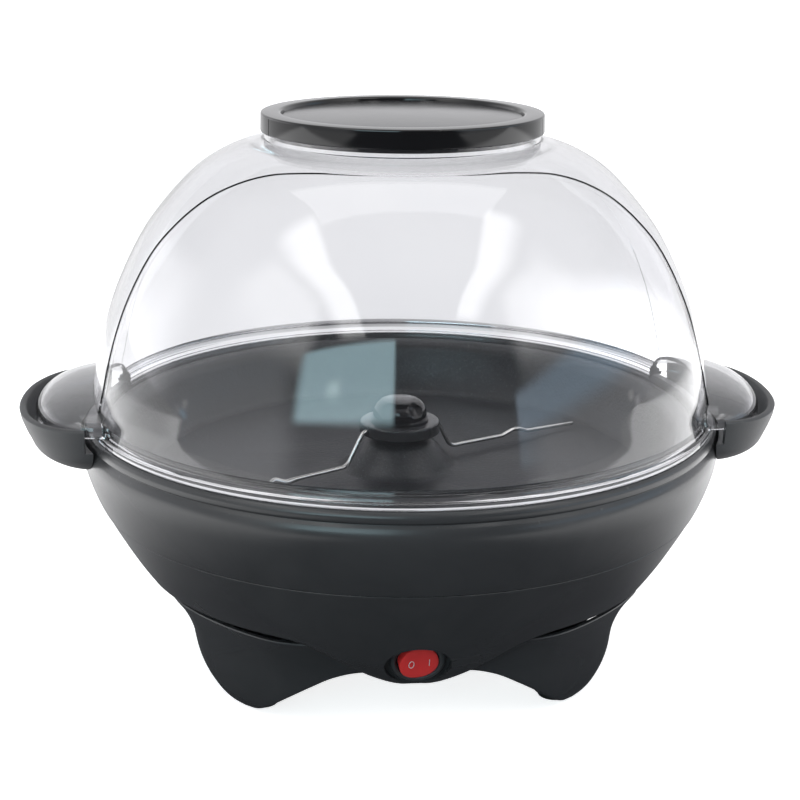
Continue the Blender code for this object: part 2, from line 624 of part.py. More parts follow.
SHAFT_TOP = F + 25.5
drive_shaft = lathe(
    "drive_shaft",
    [(0, SHAFT_TOP), (SHAFT_R - 0.5, SHAFT_TOP), (SHAFT_R, SHAFT_TOP - 0.6), (SHAFT_R, MOTOR_Z[0] + 5.8),
     (0, MOTOR_Z[0] + 5.8)],
    STEEL, steps=24,
)
shaft_flat = block("shaft_flat_cut", (SHAFT_R - 0.6, -5, F + 15.0), (SHAFT_R + 3, 5, SHAFT_TOP + 3))
cut(drive_shaft, shaft_flat)
lathe(
    "shaft_bush",
    [(BUSH_R, F + 16.2), (BUSH_R, F + 12.1), (BUSH_R + 2.4, F + 12.1), (BUSH_R + 2.4, F + 10.2),
     (BUSH_R, F + 8.0), (BORE_R, F + 8.0), (BORE_R, F + 16.2)],
    BRASS, steps=16, closed=True,
)

# ---- wiring ---------------------------------------------------------------------------------------

TERMINAL_AT = (44.0, 50.0, COVER_Z[1] + GAP)
terminal_block = block(
    "terminal_block", (TERMINAL_AT[0] - 11, TERMINAL_AT[1] - 8, TERMINAL_AT[2]),
    (TERMINAL_AT[0] + 11, TERMINAL_AT[1] + 8, TERMINAL_AT[2] + 12), CREAM,
)
for k in (-1, 1):
    cut(terminal_block, rod(
        f"terminal_bore_{k}", 2.0, -20, 20, steps=10,
        at=(TERMINAL_AT[0] + 5.0 * k, TERMINAL_AT[1], TERMINAL_AT[2] + 6), turn=(pi / 2, 0, 0),
    ))

# ---- switch ---------------------------------------------------------------------------------------

BEZEL_R = 11.8
ROCKER_R = 8.5
lathe(
    "switch_body",
    [
        (0, -6.4), (ROCKER_R + SLIDE, -6.4), (ROCKER_R + SLIDE, -0.4), (ROCKER_R + SLIDE + 0.3, 0.4),
        (BEZEL_R - 1.2, 0.4), (BEZEL_R, -0.4), (BEZEL_R, POCKET_FLOOR + GAP), (9.9, POCKET_FLOOR + GAP),
        (9.9, -15.0), (0, -15.0),
    ],
    BLACK_GLOSS, steps=24, at=SWITCH_AT, turn=SWITCH_TURN,
)
for k, x in enumerate((-4.6, 4.6)):
    block(f"switch_tab_{k + 1}", (x - 0.4, -2.4, -23.0), (x + 0.4, 2.4, -15.0 - GAP), BRASS)
    place(bpy.data.objects[f"switch_tab_{k + 1}"], at=SWITCH_AT, turn=SWITCH_TURN)

ROCKER_SWING = radians(9.0)      # tilt either side of the middle; at rest the right-hand side is in
ROCKER_PIVOT = -1.6              # pivot below the switch face, along the switch axis


def rocker_loops(count=28):
    """Round rocker whose face rises a little towards both ends of its swing, built about its pivot."""
    base, mid, edge, face = [], [], [], []
    for i in range(count):
        t = 2 * pi * i / count
        x, y = ROCKER_R * cos(t), ROCKER_R * sin(t)
        lift = 0.13 * abs(x)
        base.append((0.62 * x, 0.62 * y, -3.4))
        mid.append((x * 0.97, y * 0.97, -0.6))
        edge.append((x * 0.985, y * 0.985, 2.2 + lift))
        face.append((x * 0.90, y * 0.90, 2.9 + lift * 0.9))
    return [base, mid, edge, face]


switch_rocker = loft("switch_rocker", rocker_loops(), RED)
axis_turn = Matrix.Rotation(SWITCH_TURN[0], 4, "X")
pivot = Vector(SWITCH_AT) + axis_turn @ Vector((0, 0, ROCKER_PIVOT))
swing = Matrix.Rotation(ROCKER_SWING, 4, "Y")
switch_rocker.matrix_world = Matrix.Translation(pivot * MM) @ axis_turn @ swing

# ---- stirrer --------------------------------------------------------------------------------------

HUB_R = 18.4
HUB_Z = (F + 16.5, F + 21.7)
WIRE_R = 0.95
WIRE_Z = HUB_Z[0] + 2.6         # where the arms leave the hub
HUB_BORE = SHAFT_R + 0.25
stirrer_hub = lathe(
    "stirrer_hub",
    [
        (HUB_BORE, HUB_Z[1]), (HUB_R - 0.8, HUB_Z[1]), (HUB_R, HUB_Z[1] - 0.8), (HUB_R, HUB_Z[0]),
        (HUB_BORE, HUB_Z[0]),
    ],
    BLACK_SATIN, steps=32, closed=True,
)


def knob_loop(radius, z, flute, count=40, flutes=5):
    """A round outline with shallow finger flutes and a ridge towards the front."""
    loop = []
    for i in range(count):
        t = 2 * pi * i / count
        r = radius - flute * (0.5 - 0.5 * cos(flutes * (t + pi / 2))) ** 1.4
        loop.append((r * cos(t), r * sin(t), z))
    return loop


KNOB_R = 13.2
knob_base_z = HUB_Z[1] + GAP
stirrer_knob = loft(
    "stirrer_knob",
    [
        knob_loop(KNOB_R, knob_base_z, 0.0), knob_loop(KNOB_R, knob_base_z + 1.6, 0.0),
        knob_loop(KNOB_R - 0.5, knob_base_z + 2.6, 1.6), knob_loop(KNOB_R - 1.6, KNOB_TOP_Z - 4.0, 2.4),
        knob_loop(KNOB_R - 3.6, KNOB_TOP_Z - 1.2, 2.2), knob_loop(8.2, KNOB_TOP_Z, 0.8),
    ],
    BLACK_GLOSS,
)
knob_bore = rod("knob_bore", HUB_BORE, knob_base_z - 2, SHAFT_TOP + 0.8, steps=20)
cut(stirrer_knob, knob_bore)

WIRE_AZ = radians(30.5)          # direction of the long arm, from +X towards +Y
BORE_IN = HUB_R - 7.4            # inner end of each arm in its bore
ARM_ROOT = [(BORE_IN, WIRE_Z), (HUB_R + 1.2, WIRE_Z), (HUB_R + 3.0, WIRE_Z - 2.0)]
ARM_LONG = ARM_ROOT + [
    (HUB_R + 9.6, F + 5.5), (HUB_R + 12.1, F + 3.9), (60.0, F + 3.4), (67.0, F + 5.5), (71.0, F + 5.1),
    (75.0, F + 3.4), (104.5, F + 2.2),
]
ARM_SHORT = ARM_ROOT + [
    (HUB_R + 9.6, F + 6.1), (HUB_R + 12.1, F + 4.3), (50.0, F + 3.7), (61.0, F + 3.4), (67.0, F + 5.7),
    (71.0, F + 4.9), (76.5, F + 2.3),
]


def arm_points(arm, sign, hook=0.0):
    points = []
    for s, z in arm:
        side = hook * ramp(s, 66.0, 77.0)
        x = sign * s * cos(WIRE_AZ) - side * sin(WIRE_AZ)
        y = sign * s * sin(WIRE_AZ) + side * cos(WIRE_AZ)
        points.append((x, y, z))
    return points


for label, arm, sign, hook in (("long", ARM_LONG, 1, 0.0), ("short", ARM_SHORT, -1, -4.0)):
    points = arm_points(arm, sign, hook)
    wire(f"stirrer_wire_{label}", points, WIRE_R, STEEL)
    bore = rod(
        f"wire_bore_{label}", WIRE_R + 0.2, BORE_IN - 0.6, HUB_R + 12.0, steps=10,
        at=(0, 0, arm[0][1]), turn=(0, pi / 2, WIRE_AZ + (0 if sign > 0 else pi)),
    )
    cut(stirrer_hub, bore)

# ---- dome -----------------------------------------------------------------------------------------

DOME_REACH = BODY_R - 4.4 - NECK_R    # from the neck out to the dome's foot
DOME_LOW_Z = RIM_Z + 4.0
DOME_RISE = NECK_TOP_Z - 7.8 - DOME_LOW_Z
DOME_OUT = [  # outside of the dome from the neck down to its foot
    (NECK_R + DOME_REACH * out, DOME_LOW_Z + DOME_RISE * up)
    for out, up in (
        (0.0025, 1.0), (0.1815, 0.966), (0.3668, 0.8964), (0.5292, 0.7878), (0.6688, 0.6638),
        (0.7906, 0.5093), (0.882, 0.348), (0.9505, 0.1698), (1.0, 0.0),
    )
]
DOME_FOOT_Z = RIM_Z + GAP
FLANGE_R = BODY_R - 2.7


def inset(profile, distance):
    """Moves each profile point square to its neighbours' line, inwards."""
    moved = []
    for i, (r, z) in enumerate(profile):
        r0, z0 = profile[max(0, i - 1)]
        r1, z1 = profile[min(len(profile) - 1, i + 1)]
        length = ((r1 - r0) ** 2 + (z1 - z0) ** 2) ** 0.5
        moved.append((r - distance * (z0 - z1) / length, z - distance * (r1 - r0) / length))
    return moved


dome = lathe(
    "dome",
    [(0, NECK_TOP_Z), (NECK_R, NECK_TOP_Z), *DOME_OUT, (FLANGE_R - 0.4, RIM_Z + 3.0), (FLANGE_R, RIM_Z + 2.2),
     (FLANGE_R, DOME_FOOT_Z), (BODY_R - 8.3, DOME_FOOT_Z), (BODY_R - 8.3, RIM_Z - 1.6), (0, RIM_Z - 1.6)],
    CLEAR, steps=ROUND,
)
band_skin = inset(DOME_OUT, -1.1)
dome_band = lathe(
    "dome_band", [(0, band_skin[0][1] - 0.4), *band_skin[:-1], (0, band_skin[-2][1])], steps=ROUND
)
BAND_EDGE = [  # distance along X against half width
    (BODY_R * out, half) for out, half in (
        (0, NECK_R + 15.5), (0.153, NECK_R + 12.5), (0.292, 65), (0.404, 57), (0.515, 51), (0.598, 46),
        (0.682, 42.5), (0.779, 40), (0.877, 41), (1.044, 44),
    )
]
band_outline = [(x, -y) for x, y in BAND_EDGE] + [(x, y) for x, y in reversed(BAND_EDGE)]
band_outline += [(-x, y) for x, y in BAND_EDGE[1:]] + [(-x, -y) for x, y in reversed(BAND_EDGE[1:])]
band_prism = prism("dome_band_plan", band_outline, RIM_Z - 15.0, NECK_TOP_Z + 15.0)
boolean(dome_band, "INTERSECT", band_prism)
join(dome, dome_band)

EAR_A, EAR_B, EAR_H = HANDLE_A - 6.9, HANDLE_B - 5.0, 12.7
EAR_Z = RIM_Z + 4.0
EAR_FOOT_Z = RIM_Z + 1.6
QUARTER = [(sin(pi / 2 * k / 6), cos(pi / 2 * k / 6)) for k in range(7)]


def ear_profile(height, foot):
    return [(r, EAR_Z + height * c) for r, c in QUARTER] + [(1.0, foot), (0.0, foot)]


for side, sign in (("left", -1), ("right", 1)):
    shell = lathe(
        f"ear_shell_{side}", ear_profile(EAR_H, EAR_FOOT_Z), steps=28,
        at=(sign * HANDLE_X, 0, 0), scale=(EAR_A, EAR_B, 1),
    )
    join(dome, shell)
for side, sign in (("left", -1), ("right", 1)):
    hollow = lathe(
        f"ear_hollow_{side}", ear_profile(EAR_H - DOME_WALL, RIM_Z - 10.0), steps=28,
        at=(sign * HANDLE_X, 0, 0), scale=(EAR_A - DOME_WALL, EAR_B - DOME_WALL, 1),
    )
    cut(dome, hollow)
dome_inside = inset(DOME_OUT, DOME_WALL)
dome_hollow = lathe(
    "dome_hollow",
    [(0, NECK_TOP_Z + 20.0), (NECK_R - DOME_WALL, NECK_TOP_Z + 20.0),
     (NECK_R - DOME_WALL, dome_inside[0][1] - 1.0), *dome_inside[1:-1], (BODY_R - 9.7, RIM_Z + 3.4),
     (BODY_R - 9.7, RIM_Z - 15.0), (0, RIM_Z - 15.0)],
    steps=ROUND,
)
cut(dome, dome_hollow)

# ---- cap ------------------------------------------------------------------------------------------

PLUG_R = NECK_R - DOME_WALL - 0.5
CAP_EDGE_Z = CAP_TOP_Z - 8.2
RECESS_R = CAP_R - 9.6
lathe(
    "lid_cap",
    [
        (0, CAP_TOP_Z - 1.6), (RECESS_R, CAP_TOP_Z - 1.6), (RECESS_R + 0.6, CAP_TOP_Z - 0.2),
        (RECESS_R + 1.2, CAP_TOP_Z),
        (CAP_R - 0.9, CAP_TOP_Z), (CAP_R, CAP_TOP_Z - 0.9), (CAP_R, CAP_EDGE_Z), (NECK_R + SLIDE, CAP_EDGE_Z),
        (NECK_R + SLIDE, NECK_TOP_Z + GAP), (PLUG_R, NECK_TOP_Z + GAP), (PLUG_R, NECK_TOP_Z - 6.0),
        (PLUG_R - 2.0, NECK_TOP_Z - 6.0),
        (PLUG_R - 2.0, CAP_TOP_Z - 4.2), (0, CAP_TOP_Z - 4.2),
    ],
    BLACK_GLOSS, steps=ROUND,
)
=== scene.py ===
"""Looks of a stirring popcorn maker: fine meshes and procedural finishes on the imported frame.

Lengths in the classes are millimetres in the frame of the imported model: Z is up, the switch
faces -Y and the side handles lie along X. Meshes are written in metres.
"""

from __future__ import annotations

import bpy
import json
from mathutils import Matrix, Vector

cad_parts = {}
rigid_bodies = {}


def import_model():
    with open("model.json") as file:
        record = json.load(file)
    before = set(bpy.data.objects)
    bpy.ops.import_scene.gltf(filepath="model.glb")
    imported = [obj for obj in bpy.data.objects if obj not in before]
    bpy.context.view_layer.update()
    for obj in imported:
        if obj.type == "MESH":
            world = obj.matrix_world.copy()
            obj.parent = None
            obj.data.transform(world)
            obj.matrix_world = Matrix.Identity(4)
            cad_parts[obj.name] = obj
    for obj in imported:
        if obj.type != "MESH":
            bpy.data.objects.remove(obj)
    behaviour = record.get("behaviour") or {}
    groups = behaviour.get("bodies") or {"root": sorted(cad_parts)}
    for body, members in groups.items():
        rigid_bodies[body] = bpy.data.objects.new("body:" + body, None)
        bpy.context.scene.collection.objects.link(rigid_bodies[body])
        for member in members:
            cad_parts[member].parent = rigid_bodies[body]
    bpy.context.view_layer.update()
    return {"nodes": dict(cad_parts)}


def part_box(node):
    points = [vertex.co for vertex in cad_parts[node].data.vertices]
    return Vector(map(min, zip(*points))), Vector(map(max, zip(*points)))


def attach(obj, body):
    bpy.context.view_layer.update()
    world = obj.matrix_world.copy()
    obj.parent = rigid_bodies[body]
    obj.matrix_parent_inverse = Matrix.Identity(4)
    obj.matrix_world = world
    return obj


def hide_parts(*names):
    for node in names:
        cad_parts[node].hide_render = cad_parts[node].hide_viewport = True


for leftover in list(bpy.data.objects):
    bpy.data.objects.remove(leftover, do_unlink=True)
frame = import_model()

import json
import logging
from collections.abc import Iterable, Sequence
from dataclasses import dataclass, field
from enum import Enum
from math import cos, hypot, pi, radians, sin

import bmesh
from mathutils import Matrix, Vector

LOG = logging.getLogger("popcorn_maker")
MM = 0.001
SHARP = radians(32.0)

Point = tuple[float, float, float]
Outline = list[tuple[float, float]]
Colour = tuple[float, float, float]


class Body(Enum):
    """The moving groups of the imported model."""

    BASE = "base"
    DRIVE = "drive"
    STIRRER = "stirrer"
    ROCKER = "rocker"
    DOME = "dome"
    CAP = "cap"


class Side(Enum):
    """A side of the appliance, as its sign along X."""

    LEFT = -1
    RIGHT = 1


def low(node: str) -> Vector:
    """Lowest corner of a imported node, in millimetres."""
    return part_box(node)[0] / MM


def high(node: str) -> Vector:
    """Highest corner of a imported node, in millimetres."""
    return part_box(node)[1] / MM


# ---- outlines ------------------------------------------------------------------------------------


def ramp(value: float, start: float, end: float) -> float:
    """Smooth step from 0 at start to 1 at end.

    Args:
        value: The place to read.
        start: Where the step leaves 0.
        end: Where the step reaches 1.

    Returns:
        The height of the step, from 0 to 1.
    """
    share = min(1.0, max(0.0, (value - start) / (end - start)))
    return share * share * (3.0 - 2.0 * share)


def reading(table: Sequence[tuple[float, float]], key: float) -> float:
    """Reads a smooth curve through a table.

    Args:
        table: Pairs of key and value, with rising keys.
        key: The place to read, held inside the table.

    Returns:
        The value of the curve at the key.
    """
    key = min(table[-1][0], max(table[0][0], key))
    i = max(k for k in range(len(table) - 1) if table[k][0] <= key)
    (x1, y1), (x2, y2) = table[i], table[i + 1]
    x0, y0 = table[max(0, i - 1)]
    x3, y3 = table[min(len(table) - 1, i + 2)]
    width = x2 - x1
    rise_1 = (y2 - y0) / (x2 - x0) * width
    rise_2 = (y3 - y1) / (x3 - x1) * width
    t = (key - x1) / width
    return (
        y1 * (2 * t**3 - 3 * t**2 + 1) + rise_1 * (t**3 - 2 * t**2 + t)
        + y2 * (3 * t**2 - 2 * t**3) + rise_2 * (t**3 - t**2)
    )


def flowing(points: Sequence[Sequence[float]], steps: int = 4) -> list[tuple[float, ...]]:
    """Runs a smooth curve through points of any dimension.

    Args:
        points: The points to pass through.
        steps: Pieces between two points.

    Returns:
        The points of the curve, ends included.
    """
    curve = []
    for i in range(len(points) - 1):
        p1, p2 = Vector(points[i]), Vector(points[i + 1])
        p0, p3 = Vector(points[max(0, i - 1)]), Vector(points[min(len(points) - 1, i + 2)])
        for k in range(steps):
            t = k / steps
            at = p1 * (2 * t**3 - 3 * t**2 + 1) + p2 * (3 * t**2 - 2 * t**3)
            at += (p2 - p0) * 0.5 * (t**3 - 2 * t**2 + t) + (p3 - p1) * 0.5 * (t**3 - t**2)
            curve.append(tuple(at))
    return [*curve, tuple(points[-1])]


def rounded(corners: Sequence[Sequence[float]], closed: bool = True, steps: int = 4) -> Outline:
    """Rounds the corners of an outline with arcs.

    Args:
        corners: Pairs (r, z), or triples (r, z, rounding) for a rounded corner.
        closed: Whether the last corner joins the first.
        steps: Pieces in each arc.

    Returns:
        The outline's points.
    """
    count = len(corners)
    outline: Outline = []
    for i, corner in enumerate(corners):
        here = Vector(corner[:2])
        size = corner[2] if len(corner) > 2 else 0.0
        if size <= 0.0 or (not closed and i in (0, count - 1)):
            outline.append((here.x, here.y))
            continue
        before = Vector(corners[i - 1][:2]) - here
        after = Vector(corners[(i + 1) % count][:2]) - here
        reach = min(size, 0.48 * before.length, 0.48 * after.length)
        start, end = here + before.normalized() * reach, here + after.normalized() * reach
        for k in range(steps + 1):
            t = k / steps
            at = start * (1 - t) ** 2 + here * (2 * t * (1 - t)) + end * t**2
            outline.append((at.x, at.y))
    return outline


def polar(radius: float, degrees_: float, z: float) -> Point:
    """A point at an angle counted from the front towards +X."""
    return radius * sin(radians(degrees_)), -radius * cos(radians(degrees_)), z


def super_loop(
    centre: float, a: float, b: float, z: float, power: float = 2.2, count: int = 160
) -> list[Point]:
    """A superellipse outline in plan.

    Args:
        centre: X of its centre.
        a: Half size along X.
        b: Half size along Y.
        z: Height of the loop.
        power: 2 for an ellipse, more for a fuller outline.
        count: Points in the loop.

    Returns:
        The loop's points.
    """
    loop = []
    for i in range(count):
        c, s = cos(2 * pi * i / count), sin(2 * pi * i / count)
        x = a * abs(c) ** (2 / power) * (1 if c >= 0 else -1)
        y = b * abs(s) ** (2 / power) * (1 if s >= 0 else -1)
        loop.append((centre + x, y, z))
    return loop


# ---- meshes --------------------------------------------------------------------------------------


def to_object(
    name: str, points: Iterable[Sequence[float]], faces: list[tuple[int, ...]]
) -> bpy.types.Object:
    """Makes a smooth-shaded mesh object with its faces turned outwards.

    Args:
        name: The piece's name.
        points: Points in millimetres.
        faces: Point numbers of each face.

    Returns:
        The object, linked to the scene.
    """
    mesh = bpy.data.meshes.new(name)
    mesh.from_pydata([tuple(c * MM for c in p) for p in points], [], faces)
    work = bmesh.new()
    work.from_mesh(mesh)
    bmesh.ops.remove_doubles(work, verts=work.verts, dist=1e-7)
    bmesh.ops.recalc_face_normals(work, faces=work.faces)
    work.to_mesh(mesh)
    work.free()
    obj = bpy.data.objects.new(name, mesh)
    bpy.context.scene.collection.objects.link(obj)
    return smooth(obj)


def smooth(obj: bpy.types.Object, angle: float = SHARP) -> bpy.types.Object:
    """Shades an object smooth, except over edges sharper than the angle."""
    obj.data.shade_smooth()
    obj.data.set_sharp_from_angle(angle=angle)
    return obj


def skin(name: str, loops: Sequence[Sequence[Point]], ring: bool = False) -> bpy.types.Object:
    """Joins equal closed loops of points.

    Args:
        name: The piece's name.
        loops: Loops with the same number of points.
        ring: Whether the last loop joins the first. Otherwise both ends are capped.

    Returns:
        The closed mesh object.
    """
    n = len(loops[0])
    faces: list[tuple[int, ...]] = []
    for k in range(len(loops) if ring else len(loops) - 1):
        a, b = k * n, ((k + 1) % len(loops)) * n
        faces += [(a + i, a + (i + 1) % n, b + (i + 1) % n, b + i) for i in range(n)]
    if not ring:
        faces += [tuple(range(n)), tuple(range((len(loops) - 1) * n, len(loops) * n))]
    return to_object(name, [p for loop in loops for p in loop], faces)


def turned(
    name: str, outline: Outline, columns: int = 192, place: Matrix | None = None, phase: float = 0.0
) -> bpy.types.Object:
    """Turns a closed outline about Z. Points on the axis close the shape there.

    Args:
        name: The piece's name.
        outline: Pairs of radius and height.
        columns: Facets round the axis.
        place: Where the turned shape goes, in millimetres.
        phase: Turn of the first facet, which keeps the facets of crossing shapes apart.

    Returns:
        The closed mesh object.
    """
    points, rows = [], []
    for r, z in outline:
        ring = 1 if r < 1e-6 else columns
        rows.append([len(points) + i % ring for i in range(columns)])
        turns = [2 * pi * i / ring + phase for i in range(ring)]
        points += [(r * cos(turn), r * sin(turn), z) for turn in turns]
    faces = []
    for a, b in zip(rows, rows[1:] + rows[:1]):
        for i in range(columns):
            corner = dict.fromkeys((a[i], a[(i + 1) % columns], b[(i + 1) % columns], b[i]))
            if len(corner) > 2:
                faces.append(tuple(corner))
    if place is not None:
        points = [tuple(place @ Vector(p)) for p in points]
    return to_object(name, points, faces)


def swept(
    name: str, path: Sequence[Sequence[float]], radius: float, sides: int = 14
) -> bpy.types.Object:
    """Sweeps a round section along a path, with rounded ends.

    Args:
        name: The piece's name.
        path: The points of the middle line.
        radius: Radius of the section.
        sides: Facets round the section.

    Returns:
        The closed mesh object.
    """
    line = [Vector(p) for p in path]
    up = Vector((0, 0, 1))
    loops = []
    for i, at in enumerate(line):
        along = (line[min(i + 1, len(line) - 1)] - line[max(i - 1, 0)]).normalized()
        across = along.cross(up).normalized()
        over = across.cross(along)
        ends = [(0.0, 1.0)]
        if i == 0:
            ends = [(-0.95, 0.3), (-0.7, 0.71), (0.0, 1.0)]
        if i == len(line) - 1:
            ends = [(0.0, 1.0), (0.7, 0.71), (0.95, 0.3)]
        for forward, share in ends:
            centre = at + along * forward * radius * 0.6
            loops.append([
                tuple(
                    centre
                    + (across * cos(2 * pi * k / sides) + over * sin(2 * pi * k / sides)) * radius
                    * share
                )
                for k in range(sides)
            ])
    return skin(name, loops)


def carve(target: bpy.types.Object, operation: str, *others: bpy.types.Object) -> bpy.types.Object:
    """Applies exact Booleans to a mesh and deletes the other shapes.

    Args:
        target: The object that keeps its name.
        operation: DIFFERENCE, UNION or INTERSECT.
        others: The shapes to cut with or join.

    Returns:
        The target, with its new mesh.
    """
    for other in others:
        step = target.modifiers.new(operation.lower(), "BOOLEAN")
        step.operation, step.solver, step.object = operation, "EXACT", other
    graph = bpy.context.evaluated_depsgraph_get()
    mesh = bpy.data.meshes.new_from_object(target.evaluated_get(graph), depsgraph=graph)
    target.modifiers.clear()
    target.data = mesh
    for other in others:
        bpy.data.objects.remove(other, do_unlink=True)
    return smooth(target)


def block(name: str, corner: Point, opposite: Point) -> bpy.types.Object:
    """A plain box between two corners, for cutting."""
    xs, ys, zs = zip(corner, opposite)
    points = [(x, y, z) for z in zs for y in ys for x in xs]
    faces = [(0, 2, 3, 1), (4, 5, 7, 6), (0, 1, 5, 4), (2, 6, 7, 3), (0, 4, 6, 2), (1, 3, 7, 5)]
    return to_object(name, points, faces)


def show(
    obj: bpy.types.Object, look: bpy.types.Material, body: Body,
    nodes: Sequence[str] = ()
) -> bpy.types.Object:
    """Dresses a piece, lets it ride on its body and reports it.

    Args:
        obj: The finished piece.
        look: Its material.
        body: The body that it moves with.
        nodes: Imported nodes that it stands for.

    Returns:
        The piece.
    """
    obj.data.materials.clear()
    obj.data.materials.append(look)
    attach(obj, body.value)
    if nodes:
        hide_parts(*nodes)
    LOG.info("%s on %s, %d faces", obj.name, body.value, len(getattr(obj.data, "polygons", ())))
    return obj


# ---- shader graphs -------------------------------------------------------------------------------


@dataclass
class Graph:
    """A short way to write a node tree."""

    tree: bpy.types.NodeTree

    def add(self, kind: str, wires: dict | None = None, **settings) -> bpy.types.Node:
        """Adds a node.

        Args:
            kind: The node's type name without its ShaderNode prefix.
            wires: Values or sockets for its inputs, by name or number.
            settings: Properties of the node.

        Returns:
            The node.
        """
        node = self.tree.nodes.new(f"ShaderNode{kind}")
        for key, value in settings.items():
            setattr(node, key, value)
        for key, value in (wires or {}).items():
            if isinstance(value, bpy.types.NodeSocket):
                self.tree.links.new(value, node.inputs[key])
            else:
                node.inputs[key].default_value = value
        return node

    def maths(self, operation: str, a, b=0.0, clamp: bool = False) -> bpy.types.NodeSocket:
        """The result of a Math node on two values or sockets."""
        return self.add("Math", {0: a, 1: b}, operation=operation, use_clamp=clamp).outputs[0]

    def blend(self, share, a, b) -> bpy.types.NodeSocket:
        """A colour mixed from a to b by a share."""
        node = self.add("Mix", {0: share}, data_type="RGBA")
        for socket, value in ((node.inputs[6], a), (node.inputs[7], b)):
            if isinstance(value, bpy.types.NodeSocket):
                self.tree.links.new(value, socket)
            else:
                socket.default_value = (*value, 1.0)
        return node.outputs[2]

    def spread(
        self, value, start: float, end: float, low_: float, high_: float
    ) -> bpy.types.NodeSocket:
        """A value mapped from one range to another, held inside it."""
        wires = {0: value, 1: start, 2: end, 3: low_, 4: high_}
        return self.add("MapRange", wires, clamp=True).outputs[0]

    def soft(
        self, value, start: float, end: float, low_: float = 0.0, high_: float = 1.0
    ) -> bpy.types.NodeSocket:
        """A value mapped from one range to another with soft ends."""
        wires = {0: value, 1: min(start, end), 2: max(start, end)}
        wires |= {3: low_, 4: high_} if start < end else {3: high_, 4: low_}
        return self.add("MapRange", wires, interpolation_type="SMOOTHSTEP").outputs[0]


def new_group(
    name: str, inputs: dict[str, float], outputs: Sequence[str]
) -> tuple[bpy.types.NodeTree, Graph, dict]:
    """Starts a shader node group with value sockets.

    Args:
        name: The group's name.
        inputs: Names and default values of its inputs.
        outputs: Names of its outputs.

    Returns:
        The group, its graph and its input sockets by name.
    """
    group = bpy.data.node_groups.new(name, "ShaderNodeTree")
    for label, value in inputs.items():
        socket = group.interface.new_socket(label, in_out="INPUT", socket_type="NodeSocketFloat")
        socket.default_value = value
    for label in outputs:
        group.interface.new_socket(label, in_out="OUTPUT", socket_type="NodeSocketFloat")
    entry = group.nodes.new("NodeGroupInput")
    return group, Graph(group), {label: entry.outputs[label] for label in inputs}


def close_group(
    group: bpy.types.NodeTree, results: dict[str, bpy.types.NodeSocket]
) -> bpy.types.NodeTree:
    """Links a group's results to its outputs and returns the group."""
    end = group.nodes.new("NodeGroupOutput")
    for label, socket in results.items():
        group.links.new(socket, end.inputs[label])
    return group


def grain_group() -> bpy.types.NodeTree:
    """Fine moulded or sprayed grain, with a height and a mask of its brightest specks."""
    group, graph, given = new_group(
        "surface_grain", {"Scale": 1500.0, "Speck Level": 0.62}, ("Height", "Specks")
    )
    where = graph.add("TexCoord").outputs["Object"]
    fine = graph.add(
        "TexNoise", {"Vector": where, "Scale": given["Scale"], "Detail": 2.0, "Roughness": 0.55}
    )
    cells = graph.add(
        "TexVoronoi", {"Vector": where, "Scale": graph.maths("MULTIPLY", given["Scale"], 0.6)}
    )
    bumps = graph.maths("SUBTRACT", 1.0, cells.outputs["Distance"], clamp=True)
    height = graph.maths(
        "ADD", graph.maths("MULTIPLY", fine.outputs[0], 0.6), graph.maths("MULTIPLY", bumps, 0.4)
    )
    level = graph.maths("SUBTRACT", fine.outputs[0], given["Speck Level"])
    return close_group(
        group, {"Height": height, "Specks": graph.maths("MULTIPLY", level, 14.0, clamp=True)}
    )


def wear_group() -> bpy.types.NodeTree:
    """A broken mask along raised edges, where handling has polished or rubbed the surface."""
    group, graph, given = new_group("edge_wear", {"Level": 0.535, "Scale": 140.0}, ("Mask",))
    where = graph.add("TexCoord").outputs["Object"]
    patch = graph.add("TexNoise", {"Vector": where, "Scale": given["Scale"], "Detail": 3.0})
    raised = graph.add("NewGeometry").outputs["Pointiness"]
    edge = graph.maths(
        "MULTIPLY", graph.maths("SUBTRACT", raised, given["Level"]), 22.0, clamp=True
    )
    return close_group(
        group,
        {"Mask": graph.maths("MULTIPLY", edge, graph.spread(patch.outputs[0], 0.4, 0.62, 0.2, 1.0))}
    )


def smudge_group() -> bpy.types.NodeTree:
    """Broad uneven patches left by moulding, wiping and fingers, from 0 to 1."""
    group, graph, given = new_group("smudges", {"Scale": 24.0}, ("Value",))
    where = graph.add("TexCoord").outputs["Object"]
    broad = graph.add(
        "TexNoise", {"Vector": where, "Scale": given["Scale"], "Detail": 4.0, "Distortion": 0.8}
    )
    return close_group(group, {"Value": graph.spread(broad.outputs[0], 0.3, 0.72, 0.0, 1.0)})


def dust_group() -> bpy.types.NodeTree:
    """Sparse motes of dust that lie on faces turned upwards."""
    group, graph, given = new_group("dust", {"Scale": 420.0, "Level": 0.70}, ("Mask",))
    where = graph.add("TexCoord").outputs["Object"]
    motes = graph.add("TexNoise", {"Vector": where, "Scale": given["Scale"], "Detail": 1.0})
    upward = graph.add("SeparateXYZ", {0: graph.add("NewGeometry").outputs["Normal"]}).outputs["Z"]
    dots = graph.maths(
        "MULTIPLY", graph.maths("SUBTRACT", motes.outputs[0], given["Level"]), 16.0, clamp=True
    )
    return close_group(
        group, {"Mask": graph.maths("MULTIPLY", dots, graph.spread(upward, 0.2, 0.9, 0.0, 1.0))}
    )


class Effects:
    """The shared node groups, each built once."""

    def __init__(self) -> None:
        """Builds the groups."""
        self.grain = grain_group()
        self.wear = wear_group()
        self.smudges = smudge_group()
        self.dust = dust_group()

    def use(self, graph: Graph, group: bpy.types.NodeTree, **values: float) -> bpy.types.Node:
        """Places a group in a material.

        Args:
            graph: The material's graph.
            group: The group to place.
            values: Its inputs, with underscores for spaces.

        Returns:
            The group node.
        """
        node = graph.add("Group", node_tree=group)
        for label, value in values.items():
            node.inputs[label.replace("_", " ")].default_value = value
        return node


